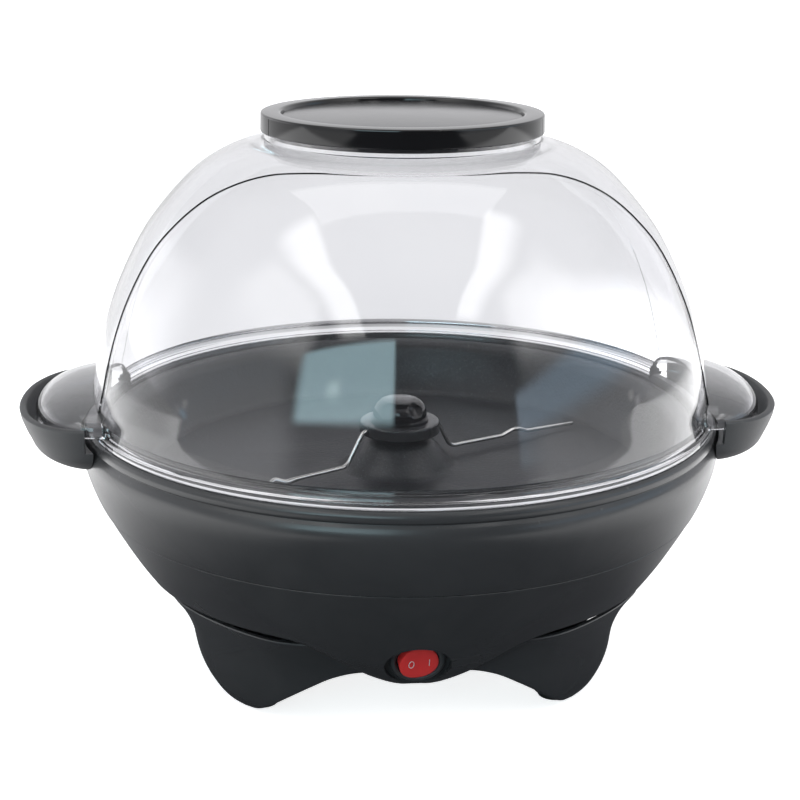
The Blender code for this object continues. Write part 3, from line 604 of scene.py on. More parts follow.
# ---- finishes ------------------------------------------------------------------------------------


def fresh(name: str) -> tuple[bpy.types.Material, Graph, bpy.types.Node]:
    """A new material with its graph and Principled shader."""
    material = bpy.data.materials.new(name)
    material.use_nodes = True
    return material, Graph(material.node_tree), material.node_tree.nodes["Principled BSDF"]


@dataclass(frozen=True)
class MouldedPlastic:
    """Opaque plastic or rubber with fine grain, smudges, edge wear and a little dust.

    Attributes:
        name: The material's name.
        colour: Base colour.
        roughness: Middle roughness.
        grain: Grains per metre, roughly.
        relief: Depth of the grain, in metres.
        wear: Share of the edge wear shown.
        dust: Share of the dust shown.
        coat: Weight of a clear glossy coat.
    """

    name: str
    colour: Colour
    roughness: float
    grain: float = 2200.0
    relief: float = 0.00004
    wear: float = 0.25
    dust: float = 0.10
    coat: float = 0.0

    def build(self, effects: Effects) -> bpy.types.Material:
        """Makes the material from the shared effects."""
        material, graph, shader = fresh(self.name)
        grain = effects.use(graph, effects.grain, Scale=self.grain)
        smudges = effects.use(graph, effects.smudges).outputs["Value"]
        wear = effects.use(graph, effects.wear).outputs["Mask"]
        dust = effects.use(graph, effects.dust).outputs["Mask"]
        pale = tuple(min(1.0, c * 1.35 + 0.004) for c in self.colour)
        rubbed = tuple(min(1.0, c * 2.0 + 0.02) for c in self.colour)
        colour = graph.blend(graph.maths("MULTIPLY", smudges, 0.5), self.colour, pale)
        colour = graph.blend(graph.maths("MULTIPLY", wear, self.wear), colour, rubbed)
        colour = graph.blend(graph.maths("MULTIPLY", dust, self.dust), colour, (0.35, 0.34, 0.33))
        rough = graph.spread(smudges, 0.0, 1.0, self.roughness * 0.88, self.roughness * 1.12)
        bump = graph.add(
            "Bump", {"Strength": 0.6, "Distance": self.relief, "Height": grain.outputs["Height"]}
        )
        graph.tree.links.new(colour, shader.inputs["Base Color"])
        graph.tree.links.new(rough, shader.inputs["Roughness"])
        graph.tree.links.new(bump.outputs["Normal"], shader.inputs["Normal"])
        shader.inputs["Coat Weight"].default_value = self.coat
        shader.inputs["Coat Roughness"].default_value = 0.08
        return material


@dataclass(frozen=True)
class NonStickCoating:
    """Sprayed dark coating with a pebbled surface and fine pale flecks."""

    name: str = "non_stick_coating"
    colour: Colour = (0.010, 0.0105, 0.012)
    fleck: Colour = (0.13, 0.14, 0.15)
    roughness: float = 0.40

    def build(self, effects: Effects) -> bpy.types.Material:
        """Makes the material from the shared effects."""
        material, graph, shader = fresh(self.name)
        pebbles = effects.use(graph, effects.grain, Scale=900.0, Speck_Level=0.60)
        flecks = effects.use(graph, effects.grain, Scale=1700.0, Speck_Level=0.64)
        smudges = effects.use(graph, effects.smudges, Scale=14.0).outputs["Value"]
        pale = tuple(c * 1.5 for c in self.colour)
        colour = graph.blend(smudges, self.colour, pale)
        colour = graph.blend(
            graph.maths("MULTIPLY", flecks.outputs["Specks"], 0.8), colour, self.fleck
        )
        rough = graph.spread(smudges, 0.0, 1.0, self.roughness, self.roughness + 0.10)
        bump = graph.add(
            "Bump", {"Strength": 0.9, "Distance": 0.00022, "Height": pebbles.outputs["Height"]}
        )
        graph.tree.links.new(colour, shader.inputs["Base Color"])
        graph.tree.links.new(rough, shader.inputs["Roughness"])
        graph.tree.links.new(bump.outputs["Normal"], shader.inputs["Normal"])
        return material


@dataclass(frozen=True)
class Metal:
    """Bare or plated metal with fine scratches and dull patches."""

    name: str
    colour: Colour
    roughness: float
    grain: float = 1800.0

    def build(self, effects: Effects) -> bpy.types.Material:
        """Makes the material from the shared effects."""
        material, graph, shader = fresh(self.name)
        grain = effects.use(graph, effects.grain, Scale=self.grain)
        smudges = effects.use(graph, effects.smudges, Scale=60.0).outputs["Value"]
        dull = tuple(c * 0.82 for c in self.colour)
        graph.tree.links.new(graph.blend(smudges, self.colour, dull), shader.inputs["Base Color"])
        rough = graph.spread(smudges, 0.0, 1.0, self.roughness, self.roughness + 0.12)
        graph.tree.links.new(rough, shader.inputs["Roughness"])
        bump = graph.add(
            "Bump", {"Strength": 0.3, "Distance": 0.00003, "Height": grain.outputs["Height"]}
        )
        graph.tree.links.new(bump.outputs["Normal"], shader.inputs["Normal"])
        shader.inputs["Metallic"].default_value = 1.0
        return material


@dataclass(frozen=True)
class ClearPlastic:
    """Clear moulded plastic with a faint flow pattern. Lamps light what is behind it."""

    name: str = "clear_dome_plastic"
    colour: Colour = (0.966, 0.966, 0.976)
    cloud: Colour = (0.940, 0.941, 0.956)
    roughness: float = 0.015
    bending: float = 1.52

    def build(self, effects: Effects) -> bpy.types.Material:
        """Makes the material from the shared effects."""
        material, graph, shader = fresh(self.name)
        smudges = effects.use(graph, effects.smudges, Scale=9.0).outputs["Value"]
        flow = graph.add("TexNoise", {
            "Vector": graph.add("TexCoord").outputs["Object"], "Scale": 16.0, "Detail": 1.0,
        })
        graph.tree.links.new(
            graph.blend(smudges, self.colour, self.cloud), shader.inputs["Base Color"]
        )
        bump = graph.add("Bump", {"Strength": 0.25, "Distance": 0.0006, "Height": flow.outputs[0]})
        graph.tree.links.new(bump.outputs["Normal"], shader.inputs["Normal"])
        shader.inputs["Roughness"].default_value = self.roughness
        shader.inputs["IOR"].default_value = self.bending
        shader.inputs["Transmission Weight"].default_value = 1.0
        through = graph.add("BsdfTransparent", {"Color": (0.93, 0.935, 0.945, 1.0)})
        path = graph.add("LightPath").outputs["Is Shadow Ray"]
        both = graph.add("MixShader", {0: path, 1: shader.outputs[0], 2: through.outputs[0]})
        out = graph.tree.nodes["Material Output"]
        graph.tree.links.new(both.outputs[0], out.inputs["Surface"])
        return material


class Palette:
    """Every finish of the appliance, built once and found by name."""

    FINISHES = (
        MouldedPlastic("satin_black_plastic", (0.036, 0.036, 0.0375), 0.25),
        MouldedPlastic(
            "matt_black_plastic", (0.046, 0.046, 0.048), 0.52, grain=1500.0, relief=0.00008
        ),
        MouldedPlastic("gloss_black_plastic", (0.0025, 0.0025, 0.003), 0.10, relief=0.000008),
        MouldedPlastic("gloss_grey_plastic", (0.020, 0.020, 0.021), 0.17, relief=0.00001),
        MouldedPlastic("rubber", (0.016, 0.016, 0.016), 0.82, grain=1200.0, relief=0.00010),
        MouldedPlastic(
            "red_plastic", (1.0, 0.042, 0.040), 0.20, relief=0.00001, wear=0.1, coat=0.5
        ),
        MouldedPlastic(
            "white_marking", (0.82, 0.80, 0.78), 0.45, relief=0.00001, wear=0.0, dust=0.0
        ),
        MouldedPlastic("cream_plastic", (0.70, 0.66, 0.55), 0.48),
        MouldedPlastic("ceramic", (0.72, 0.69, 0.60), 0.35, relief=0.00002),
        NonStickCoating(),
        Metal("stainless", (0.70, 0.69, 0.67), 0.16),
        Metal("zinc_steel", (0.55, 0.56, 0.58), 0.34),
        Metal("sheet_aluminium", (0.72, 0.73, 0.74), 0.36),
        Metal("brass", (0.74, 0.54, 0.24), 0.30),
        ClearPlastic(),
    )

    def __init__(self, effects: Effects) -> None:
        """Builds each finish with the shared effects."""
        self.looks = {finish.name: finish.build(effects) for finish in self.FINISHES}

    def __getitem__(self, name: str) -> bpy.types.Material:
        """The material of that name."""
        return self.looks[name]


# ---- housing -------------------------------------------------------------------------------------


@dataclass
class UpperHousing:
    """The upper bowl with its rolled rim, fine groove and pan ledge."""

    rim_z: float = field(default_factory=lambda: high("upper_housing").z)
    seam_z: float = field(default_factory=lambda: low("upper_housing").z)
    widest: float = field(default_factory=lambda: high("upper_housing").x)
    ledge_r: float = 128.6
    ledge_drop: float = 4.4

    def outline(self) -> Outline:
        """The turned section, from the inner lip over the rim and down the outside."""
        top, wide = self.rim_z, self.widest
        bulge = flowing([
            (wide - 1.25, top - 6.4), (wide - 0.45, top - 8.4), (wide, top - 11.5),
            (wide - 0.3, top - 15.5),
            (wide - 1.3, top - 20.0), (wide - 3.3, top - 26.5), (wide - 5.6, top - 32.5),
            (wide - 7.55, self.seam_z + 0.4),
        ])
        ledge = top - self.ledge_drop
        return rounded([
            (136.4, top, 0.4), (141.1, top, 1.2), (142.5, top - 1.9, 1.2), (142.5, top - 4.4, 0.6),
            (wide - 2.2, top - 5.1, 0.25), *bulge, (wide - 7.9, self.seam_z, 0.2),
            (133.4, self.seam_z),
            (137.0, self.seam_z + 8.6), (139.8, top - 19.0), (140.9, top - 11.7),
            (139.8, ledge - 3.0),
            (self.ledge_r, ledge - 3.0, 0.5), (self.ledge_r, ledge, 0.5), (135.9, ledge, 0.3),
        ])

    def build(self, palette: Palette) -> None:
        """Makes the upper housing."""
        obj = turned("upper_bowl", self.outline(), columns=256)
        show(obj, palette["satin_black_plastic"], Body.BASE, ["upper_housing"])


@dataclass
class SwitchFrame:
    """Tilted axes of the switch: local Z points out of its face, local X to the right."""

    centre: Point = (0.0, -105.0, 36.3)
    tilt: float = 19.0
    pivot: float = -1.6
    swing: float = 9.0

    def face(self) -> Matrix:
        """Places a shape on the switch face."""
        return Matrix.Translation(self.centre) @ Matrix.Rotation(
            pi / 2 + radians(self.tilt), 4, "X"
        )

    def rocker(self) -> Matrix:
        """Places a shape on the rocker, tilted so that its right-hand side is in."""
        return self.face() @ Matrix.Translation((0, 0, self.pivot)) @ Matrix.Rotation(
            radians(self.swing), 4, "Y"
        )


@dataclass
class LowerHousing:
    """The lower bowl, whose front runs down in a tongue that holds the switch pocket."""

    switch: SwitchFrame
    wall: float = 2.4
    top_z: float = 77.7
    tongue_z: float = 22.8
    edge_z: float = 47.3
    pocket_r: float = 14.0
    pocket_floor: float = -2.0
    radii: tuple = (
        (22.8, 98.0), (33.0, 106.7), (44.0, 114.9), (56.0, 123.2), (68.0, 130.3), (77.7, 135.6)
    )
    edge: tuple = (
        (0.0, 22.8), (8.0, 22.9), (16.5, 26.4), (25.0, 31.6), (32.5, 36.8), (38.5, 40.8),
        (45.0, 44.2),
        (52.0, 46.5), (60.0, 47.3),
    )

    def radius(self, z: float) -> float:
        """Outside radius of the bowl at a height."""
        return reading(self.radii, z)

    def edge_height(self, angle: float) -> float:
        """Height of the lower edge at an angle from the front."""
        if abs((angle + 180.0) % 360.0 - 180.0) > 40.0:
            return self.edge_z
        z = self.edge_z
        for _ in range(24):
            z = 0.5 * z + 0.5 * reading(self.edge, self.radius(z) * abs(sin(radians(angle))))
        return z

    def column(self, angle: float) -> list[Point]:
        """The closed section of the wall at an angle from the front."""
        foot = self.edge_height(angle)
        top = self.top_z
        heights = [top - 0.25 - (top - 0.25 - foot - 0.6) * k / 20 for k in range(21)]
        outside = [(self.radius(top) - 0.3, top), *((self.radius(z), z) for z in heights)]
        outside += [(self.radius(foot) - 0.15, foot + 0.18), (self.radius(foot) - 0.6, foot)]
        inside = [(self.radius(foot) - self.wall + 0.4, foot)]
        inside += [(self.radius(z) - self.wall, z) for z in reversed(heights)]
        inside += [(self.radius(top) - self.wall, top)]
        return [polar(r, angle, z) for r, z in outside + inside]

    def angles(self) -> list[float]:
        """Angles of the columns, closer together over the tongue."""
        front = [-40.0 + 80.0 * k / 160 for k in range(160)]
        rest = [40.0 + 280.0 * k / 140 for k in range(140)]
        return front + rest

    def pocket(self) -> bpy.types.Object:
        """The cup behind the switch, trimmed to the inside of the bowl's outer surface."""
        cup = turned("pocket_cup", [
            (0.0, 8.0), (self.pocket_r + 1.8, 8.0), (self.pocket_r + 1.8, self.pocket_floor - 2.0),
            (0.0, self.pocket_floor - 2.0),
        ], 96, self.switch.face(), phase=0.0113)
        heights = [self.tongue_z + (self.top_z - self.tongue_z) * k / 12 for k in range(13)]
        core = turned("bowl_core", [
            (0.0, self.top_z), *((self.radius(z) - 0.4, z) for z in reversed(heights)),
            (0.0, self.tongue_z),
        ], 256)
        return carve(cup, "INTERSECT", core)

    def build(self, palette: Palette) -> None:
        """Makes the bowl, joins the pocket and opens the switch hole and the cord inlet."""
        bowl = skin("lower_bowl", [self.column(a) for a in self.angles()], ring=True)
        hollow = turned("pocket_hollow", [
            (0.0, 26.0), (self.pocket_r, 26.0), (self.pocket_r, self.pocket_floor),
            (10.3, self.pocket_floor),
            (10.3, -9.0), (0.0, -9.0),
        ], 96, self.switch.face(), phase=0.0191)
        inlet_z = (low("cord_inlet_bush").z + high("cord_inlet_bush").z) / 2
        seat_y = high("cord_inlet_bush").y - 4.4
        turn = Matrix.Translation((0, 0, inlet_z)) @ Matrix.Rotation(-pi / 2, 4, "X")
        boss = turned("inlet_boss", [(0.0, seat_y + 2.6), (11.8, seat_y + 2.6),
            (11.8, seat_y - 4.0), (0.0, seat_y - 4.0)],
                      64, turn)
        seat = turned("inlet_seat", [
            (0.0, 150.0), (10.3, 150.0), (10.3, seat_y), (6.3, seat_y), (6.3, 100.0), (0.0, 100.0),
        ], 64, turn)
        core = turned("inlet_core", [
            (0.0, self.top_z), (self.radius(self.top_z) - 0.4, self.top_z),
            (self.radius(56.0) - 0.4, 56.0),
            (self.radius(46.0) - 0.4, 46.0), (0.0, 46.0),
        ], 256)
        carve(boss, "INTERSECT", core)
        carve(bowl, "UNION", self.pocket(), boss)
        carve(bowl, "DIFFERENCE", hollow, seat)
        show(bowl, palette["satin_black_plastic"], Body.BASE, ["lower_housing"])
        floor = turned("bowl_floor", [
            (102.8, 47.6), (102.8, 39.6), (100.9, 39.6), (100.9, 47.6), (90.0, 47.6), (90.0, 50.0),
            (114.0, 50.0),
            (112.2, 47.6),
        ], 192)
        carve(floor, "DIFFERENCE", block("pocket_bay", (-16.6, -130.0, 10.0), (16.6, -86.0, 60.0)))
        show(floor, palette["satin_black_plastic"], Body.BASE)


@dataclass
class FootSkirt:
    """The skirt with four lobed feet, an arch on each side and rubber pads below."""

    top_z: float = field(default_factory=lambda: high("foot_skirt").z)
    wall: float = 2.4
    hollow: float = 6.8
    rise: float = 3.2
    pad_r: float = 7.6
    radii: tuple = (
        (0.0, 99.3), (2.0, 101.2), (6.0, 103.0), (16.0, 104.6), (26.0, 106.2), (34.0, 109.2),
        (40.0, 112.6),
        (46.0, 117.0),
    )
    arch: tuple = (
        (0.0, 28.5), (12.0, 28.0), (20.0, 24.4), (26.0, 18.8), (32.0, 12.0), (37.0, 5.9),
        (41.0, 2.3), (45.0, 1.2),
    )

    def from_side(self, angle: float) -> float:
        """Degrees from the nearest middle of a side: 0 between two feet, 45 at a foot."""
        return abs((angle + 45.0) % 90.0 - 45.0)

    def radius(self, angle: float, z: float) -> float:
        """Outside radius at an angle from the front and a height."""
        return reading(self.radii, z) - self.hollow * (
            1.0 - ramp(self.from_side(angle), 13.0, 34.0)
        )

    def column(self, angle: float) -> list[Point]:
        """The closed section of the wall at an angle from the front."""
        foot = reading(self.arch, self.from_side(angle))
        top = self.top_z + self.rise * ramp(abs((angle + 180.0) % 360.0 - 180.0), 24.0, 62.0)
        heights = [top - 0.5 - (top - 1.3 - foot) * k / 20 for k in range(21)]
        section = [
            (self.radius(angle, top) - 0.5, top), *((self.radius(angle, z), z) for z in heights)
        ]
        section += [
            (self.radius(angle, foot) - 0.2, foot + 0.25), (self.radius(angle, foot) - 0.8, foot)
        ]
        section += [(self.radius(angle, foot) - self.wall, foot)]
        section += [(self.radius(angle, z) - self.wall, z) for z in reversed(heights)]
        section += [(self.radius(angle, top) - self.wall, top)]
        return [polar(r, angle, z) for r, z in section]

    def tongue_room(self, bowl: LowerHousing) -> bpy.types.Object:
        """The space that the bowl's tongue takes out of the skirt, with a fine clearance."""
        columns = []
        for k in range(81):
            angle = -34.0 + 68.0 * k / 80
            foot = bowl.edge_height(angle) - 0.4
            heights = [foot + (52.0 - foot) * j / 10 for j in range(11)]
            inner = [(bowl.radius(z) - bowl.wall - 0.5, z) for z in heights]
            columns.append([polar(r, angle, z) for r, z in [(140.0, foot), *inner, (140.0, 52.0)]])
        return skin("tongue_room", columns)

    def build(self, palette: Palette, bowl: LowerHousing) -> None:
        """Makes the skirt, its inner flange, the posts over the pads and the pads.

        Args:
            palette: The finishes.
            bowl: The bowl whose tongue overlaps the skirt.
        """
        skirt = skin("skirt", [self.column(360.0 * k / 360) for k in range(360)], ring=True)
        room = self.tongue_room(bowl)
        carve(skirt, "DIFFERENCE", room)
        flange = turned("skirt_flange", rounded([
            (99.2, 35.5), (99.2, 33.0), (89.0, 33.0, 0.4), (89.0, 35.5, 0.4),
        ]), 128)
        pads = [f"rubber_foot_{k}" for k in range(1, 5)]
        places = [((low(n) + high(n)) / 2).to_2d() for n in pads]
        posts = [
            turned("pad_post", [(0.0, 34.0), (9.0, 34.0), (9.0, 2.8), (8.6, 2.6), (0.0, 2.6)], 48,
                   Matrix.Translation((at.x, at.y, 0.0))) for at in places
        ]
        bay = block("switch_bay", (-17.2, -130.0, 10.0), (17.2, -76.0, 60.0))
        carve(flange, "UNION", *posts)
        carve(flange, "DIFFERENCE", bay)
        look = palette["satin_black_plastic"]
        show(skirt, look, Body.BASE, ["foot_skirt"])
        show(flange, look, Body.BASE)
        for node, at in zip(pads, places):
            pad = turned(f"pad_{node[-1]}", rounded([
                (0.0, 2.5), (self.pad_r, 2.5, 0.3), (self.pad_r - 0.6, 0.0, 0.6), (4.6, 0.0, 0.3),
                (4.2, 0.7, 0.3),
                (0.0, 0.7),
            ]), 48, Matrix.Translation((at.x, at.y, 0.0)))
            show(pad, palette["rubber"], Body.BASE, [node])


@dataclass
class SideHandle:
    """A D-shaped tray that carries one ear of the dome and serves as a grip."""

    side: Side
    centre_x: float = 134.0
    reach: float = 36.5
    half_length: float = 54.0
    top_z: float = field(default_factory=lambda: high("side_handle_left").z)
    floor_z: float = 110.8
    wall_end_x: float = 137.5
    body_r: float = 143.9
    under: tuple = (
        (96.4, 14.0, 28.0), (98.2, 18.6, 35.4), (100.5, 23.0, 42.0), (102.4, 26.4, 46.0),
        (104.2, 28.9, 48.7),
        (106.2, 30.6, 50.8), (108.2, 31.6, 51.8), (110.5, 32.7, 52.4), (113.0, 34.0, 52.9),
        (117.5, 35.8, 53.7),
    )

    def loops(self) -> list[list[Point]]:
        """The tray's loops, from the bottom up the outside, over the rim and down to the floor."""
        a, b, top = self.reach, self.half_length, self.top_z
        levels = [(z, x, y) for z, x, y in flowing(self.under, 3)]
        for k in range(1, 8):
            turn = pi * k / 8
            inset = 1.7 * (1.0 - cos(turn))
            levels.append((top - 1.5 + 1.5 * sin(turn), a - inset, b - inset))
        levels.append((self.floor_z + 1.2, a - 4.9, b - 4.6))
        levels.append((self.floor_z + 0.3, a - 5.5, b - 5.0))
        levels.append((self.floor_z, a - 6.6, b - 6.0))
        return [super_loop(self.centre_x * self.side.value, x, y, z) for z, x, y in levels]

    def build(self, palette: Palette) -> None:
        """Makes the tray and cuts it to the body."""
        name = self.side.name.lower()
        tray = skin(f"handle_{name}", self.loops())
        body = turned(
            "body_room", [(0.0, 140.0), (self.body_r, 140.0), (self.body_r, 60.0), (0.0, 60.0)], 256
        )
        xs = sorted((0.0, self.side.value * self.wall_end_x))
        ends = block("wall_ends", (xs[0], -80.0, self.floor_z + 0.1), (xs[1], 80.0, 140.0))
        carve(tray, "DIFFERENCE", body, ends)
        bevel = tray.modifiers.new("soft_edges", "BEVEL")
        bevel.width, bevel.segments = 0.0004, 2
        bevel.limit_method, bevel.angle_limit = "ANGLE", radians(50)
        show(
            tray, palette["matt_black_plastic"], Body.BASE,
            [f"side_handle_{name}"]
        )


# ---- pan and stirrer -----------------------------------------------------------------------------


@dataclass
class HeatingPan:
    """The non-stick pan with its rolled rim and the round boss in its middle."""

    rim_z: float = field(default_factory=lambda: high("heating_pan").z)
    depth: float = 26.4

    def outline(self) -> Outline:
        """The turned section, from the boss over the floor and the rim and back below."""
        f = self.rim_z - self.depth
        boss = flowing(
            [(5.6, f + 15.9), (9.6, f + 15.2), (15.4, f + 12.0), (20.6, f + 6.5), (24.2, f + 1.9),
            (26.6, f + 0.3)], 5
        )
        wall = flowing(
            [(112.0, f), (115.4, f + 1.4), (118.0, f + 4.4), (120.6, f + 9.6), (122.6, f + 15.5),
            (124.2, f + 21.6)], 5
        )
        rim = flowing(
            [(125.4, f + 24.2), (127.6, f + 25.8), (130.6, f + 26.4), (132.9, f + 26.0),
            (133.8, f + 25.2)], 4
        )
        below = flowing(
            [(127.6, f + 24.5), (125.9, f + 21.4), (124.3, f + 14.0), (119.8, f + 2.2),
            (112.2, f - 2.2)], 4
        )
        under = flowing(
            [(26.2, f - 2.2), (22.0, f - 0.2), (17.4, f + 6.2), (12.4, f + 10.8), (5.6, f + 13.2)],
            4
        )
        return [*boss, (28.4, f), *wall, *rim, (133.4, f + 24.5), *below, *under]

    def build(self, palette: Palette) -> None:
        """Makes the pan."""
        pan = turned("pan", self.outline(), columns=256)
        show(pan, palette["non_stick_coating"], Body.BASE, ["heating_pan"])


@dataclass
class Stirrer:
    """The hub disc, the fluted knob that holds it and the two bent wire arms."""

    hub_r: float = 18.4
    knob_r: float = 13.2
    wire_r: float = 0.95
    bore_r: float = 3.25
    direction: float = 30.5
    long_arm: tuple = (
        (11.0, 105.6), (19.6, 105.6), (21.4, 103.6), (28.0, 92.0), (30.5, 90.4), (60.0, 89.9),
        (67.0, 92.0),
        (71.0, 91.6), (75.0, 89.9), (104.5, 88.7),
    )
    short_arm: tuple = (
        (11.0, 105.6), (19.6, 105.6), (21.4, 103.6), (28.0, 92.6), (30.5, 90.8), (50.0, 90.2),
        (61.0, 89.9),
        (67.0, 92.2), (71.0, 91.4), (76.5, 88.8),
    )

    def hub(self, palette: Palette) -> None:
        """Makes the hub disc."""
        foot, top = low("stirrer_hub").z, high("stirrer_hub").z
        disc = turned("hub_disc", rounded([
            (self.bore_r, top), (self.hub_r - 0.3, top, 0.9), (self.hub_r, foot, 0.5),
            (self.hub_r - 1.6, foot, 0.2),
            (self.bore_r, foot),
        ]), 128)
        show(disc, palette["gloss_grey_plastic"], Body.STIRRER, ["stirrer_hub"])

    def knob_radius(self, angle: float, share: float) -> float:
        """Radius of the knob, with five leaf-shaped flutes, at an angle and share of height."""
        round_ = 7.9 + 4.5 * (1.0 - share**3.2) ** 0.8
        beat = cos(5.0 * (angle + pi / 2 - radians(36.0)))
        leaf = max(0.0, (share - 0.22) / 0.74)
        width = 0.15 + 0.85 * sin(pi * min(1.0, leaf) ** 1.25) if leaf > 0 else 0.0
        cut = max(0.0, beat - (1.0 - 1.25 * width)) / 1.25
        return round_ - 3.0 * cut**0.9 * (1.0 if leaf > 0 else 0.0)

    def knob(self, palette: Palette) -> None:
        """Makes the knob."""
        foot, top = low("stirrer_knob").z, high("stirrer_knob").z
        count, rows = 200, 40
        loops = []
        for radius, z in ((self.knob_r - 0.3, foot), (self.knob_r, foot + 0.3),
            (self.knob_r, foot + 1.0),
                          (self.knob_r - 0.35, foot + 1.3)):
            loops.append([(radius * cos(2 * pi * i / count), radius * sin(2 * pi * i / count),
                z) for i in range(count)])
        for k in range(rows):
            share = k / (rows - 1)
            z = foot + 1.35 + (top - foot - 1.35) * share
            turn = [2 * pi * i / count for i in range(count)]
            loops.append([
                (self.knob_radius(t, share) * cos(t), self.knob_radius(t, share) * sin(t), z)
                for t in turn
            ])
        piece = skin("knob", loops)
        show(
            piece, palette["gloss_black_plastic"], Body.STIRRER,
            ["stirrer_knob"]
        )

    def arm(
        self, palette: Palette, label: str, shape: Sequence[tuple[float, float]], sign: int,
        hook: float
    ) -> None:
        """Makes one wire arm.

        Args:
            palette: The finishes.
            label: long or short.
            shape: Distance from the axis against height.
            sign: 1 for the direction of the long arm, -1 for the other way.
            hook: Sideways sweep of the arm's end.
        """
        turn = radians(self.direction)
        path = []
        for s, z in rounded([(s, z, 1.3) for s, z in shape], closed=False, steps=4):
            side = hook * ramp(s, 66.0, 77.0)
            path.append(
                (sign * s * cos(turn) - side * sin(turn), sign * s * sin(turn) + side * cos(turn),
                z)
            )
        piece = swept(f"arm_{label}", path, self.wire_r)
        show(piece, palette["stainless"], Body.STIRRER, [f"stirrer_wire_{label}"])

    def build(self, palette: Palette) -> None:
        """Makes the whole stirrer."""
        self.hub(palette)
        self.knob(palette)
        self.arm(palette, "long", self.long_arm, 1, 0.0)
        self.arm(palette, "short", self.short_arm, -1, -4.0)


# ---- dome and cap --------------------------------------------------------------------------------


@dataclass
class Dome:
    """The clear dome with its neck, raised arch band, foot lip and two hollow ears."""

    neck_r: float = 60.5
    wall: float = 2.4
    lip_r: float = 141.0
    band_rise: float = 0.6
    ear_x: float = 134.0
    ear_a: float = 29.6
    ear_b: float = 49.0
    ear_h: float = 12.7
    ear_z: float = 119.0
    ear_foot_z: float = 116.6
    foot_z: float = field(default_factory=lambda: low("upper_housing").z + 37.3)
    neck_z: float = field(default_factory=lambda: high("dome").z)
    shape: tuple = (
        (60.7, 236.8), (66.0, 235.4), (74.8, 232.7), (83.4, 228.4), (90.6, 223.4), (98.2, 216.0),
        (106.0, 207.0),
        (113.2, 197.2), (119.8, 185.2), (125.6, 172.4), (130.0, 160.0), (133.4, 147.6),
        (136.2, 135.0), (138.4, 125.0),
        (139.3, 119.0),
    )
    band: tuple = (
        (0.0, 76.0), (22.0, 73.0), (42.0, 65.0), (58.0, 57.0), (74.0, 51.0), (86.0, 46.0),
        (98.0, 42.5),
        (112.0, 40.0), (126.0, 41.0), (150.0, 44.0),
    )

    def offset(self, distance: float) -> Outline:
        """The dome's curve moved square to itself, outwards for a positive distance."""
        curve = flowing(self.shape, 3)
        moved = []
        for i, (r, z) in enumerate(curve):
            (r0, z0), (r1, z1) = curve[max(0, i - 1)], curve[min(len(curve) - 1, i + 1)]
            length = hypot(r1 - r0, z1 - z0)
            moved.append((r + distance * (z0 - z1) / length, z + distance * (r1 - r0) / length))
        return moved

    def outside(self) -> bpy.types.Object:
        """The solid dome with its neck and foot lip."""
        lip = rounded([(139.6, 118.4, 0.4), (self.lip_r, 118.0, 0.9),
            (self.lip_r, self.foot_z, 0.6), (135.4, self.foot_z, 0.4),
                       (135.4, 113.5)], closed=False)
        neck = rounded(
            [(self.neck_r - 0.6, self.neck_z), (self.neck_r, self.neck_z - 0.5),
            (self.neck_r, 237.3)], closed=False
        )
        return turned(
            "clear_dome", [(0.0, self.neck_z), *neck, *self.offset(0.0), *lip, (0.0, 113.5)], 256
        )

    def arch(self) -> bpy.types.Object:
        """The raised band that runs over the top from ear to ear."""
        raised = self.offset(self.band_rise)[:-1]
        dome = turned("band", [(0.0, raised[0][1]), *raised, (0.0, raised[-1][1])], 256)
        half = flowing(self.band, 6)
        plan = [(x, -y) for x, y in half] + [(x, y) for x, y in reversed(half)]
        plan += [(-x, y) for x, y in half[1:]] + [(-x, -y) for x, y in reversed(half[1:])]
        wall = skin(
            "band_plan", [[(x, y, 100.0) for x, y in plan], [(x, y, 260.0) for x, y in plan]]
        )
        return carve(dome, "INTERSECT", wall)

    def ear(self, side: Side, shrink: float, foot: float, lip: float = 0.0) -> bpy.types.Object:
        """One ear as a solid.

        Args:
            side: The ear's side.
            shrink: Distance inside the ear's outer surface.
            foot: Height of its flat underside.
            lip: Width of the rim at its foot.

        Returns:
            The solid.
        """
        curve = []
        for k in range(21):
            t = pi / 2 * k / 20
            curve.append((sin(t), self.ear_z + (self.ear_h - shrink) * cos(t)))
        outline = [*curve, (1.0, foot), (0.0, foot)]
        points = Matrix.Translation((side.value * self.ear_x, 0, 0))
        points @= Matrix.Diagonal((self.ear_a - shrink + lip, self.ear_b - shrink + lip, 1.0, 1.0))
        return turned(f"ear_{side.name.lower()}", outline, 128, points, phase=0.0137)

    def inside(self) -> bpy.types.Object:
        """The hollow of the dome and its neck."""
        inner = self.offset(-self.wall)[3:-2]
        throat = rounded(
            [(self.neck_r - self.wall, 270.0), (self.neck_r - self.wall, 234.6, 1.2), inner[0]],
            closed=False
        )
        return turned(
            "dome_hollow",
            [(0.0, 270.0), *throat[:-1], *inner, (134.0, 118.4), (134.0, 100.0), (0.0, 100.0)], 256,
            phase=0.0071
        )

    def build(self, palette: Palette) -> None:
        """Makes the dome as one clear moulding."""
        dome = self.outside()
        carve(dome, "UNION", self.arch(), *(self.ear(side, 0.0, self.ear_foot_z) for side in Side))
        hollows = [self.ear(side, self.wall, 105.0) for side in Side]
        carve(dome, "DIFFERENCE", self.inside(), *hollows)
        show(dome, palette["clear_dome_plastic"], Body.DOME, ["dome"])


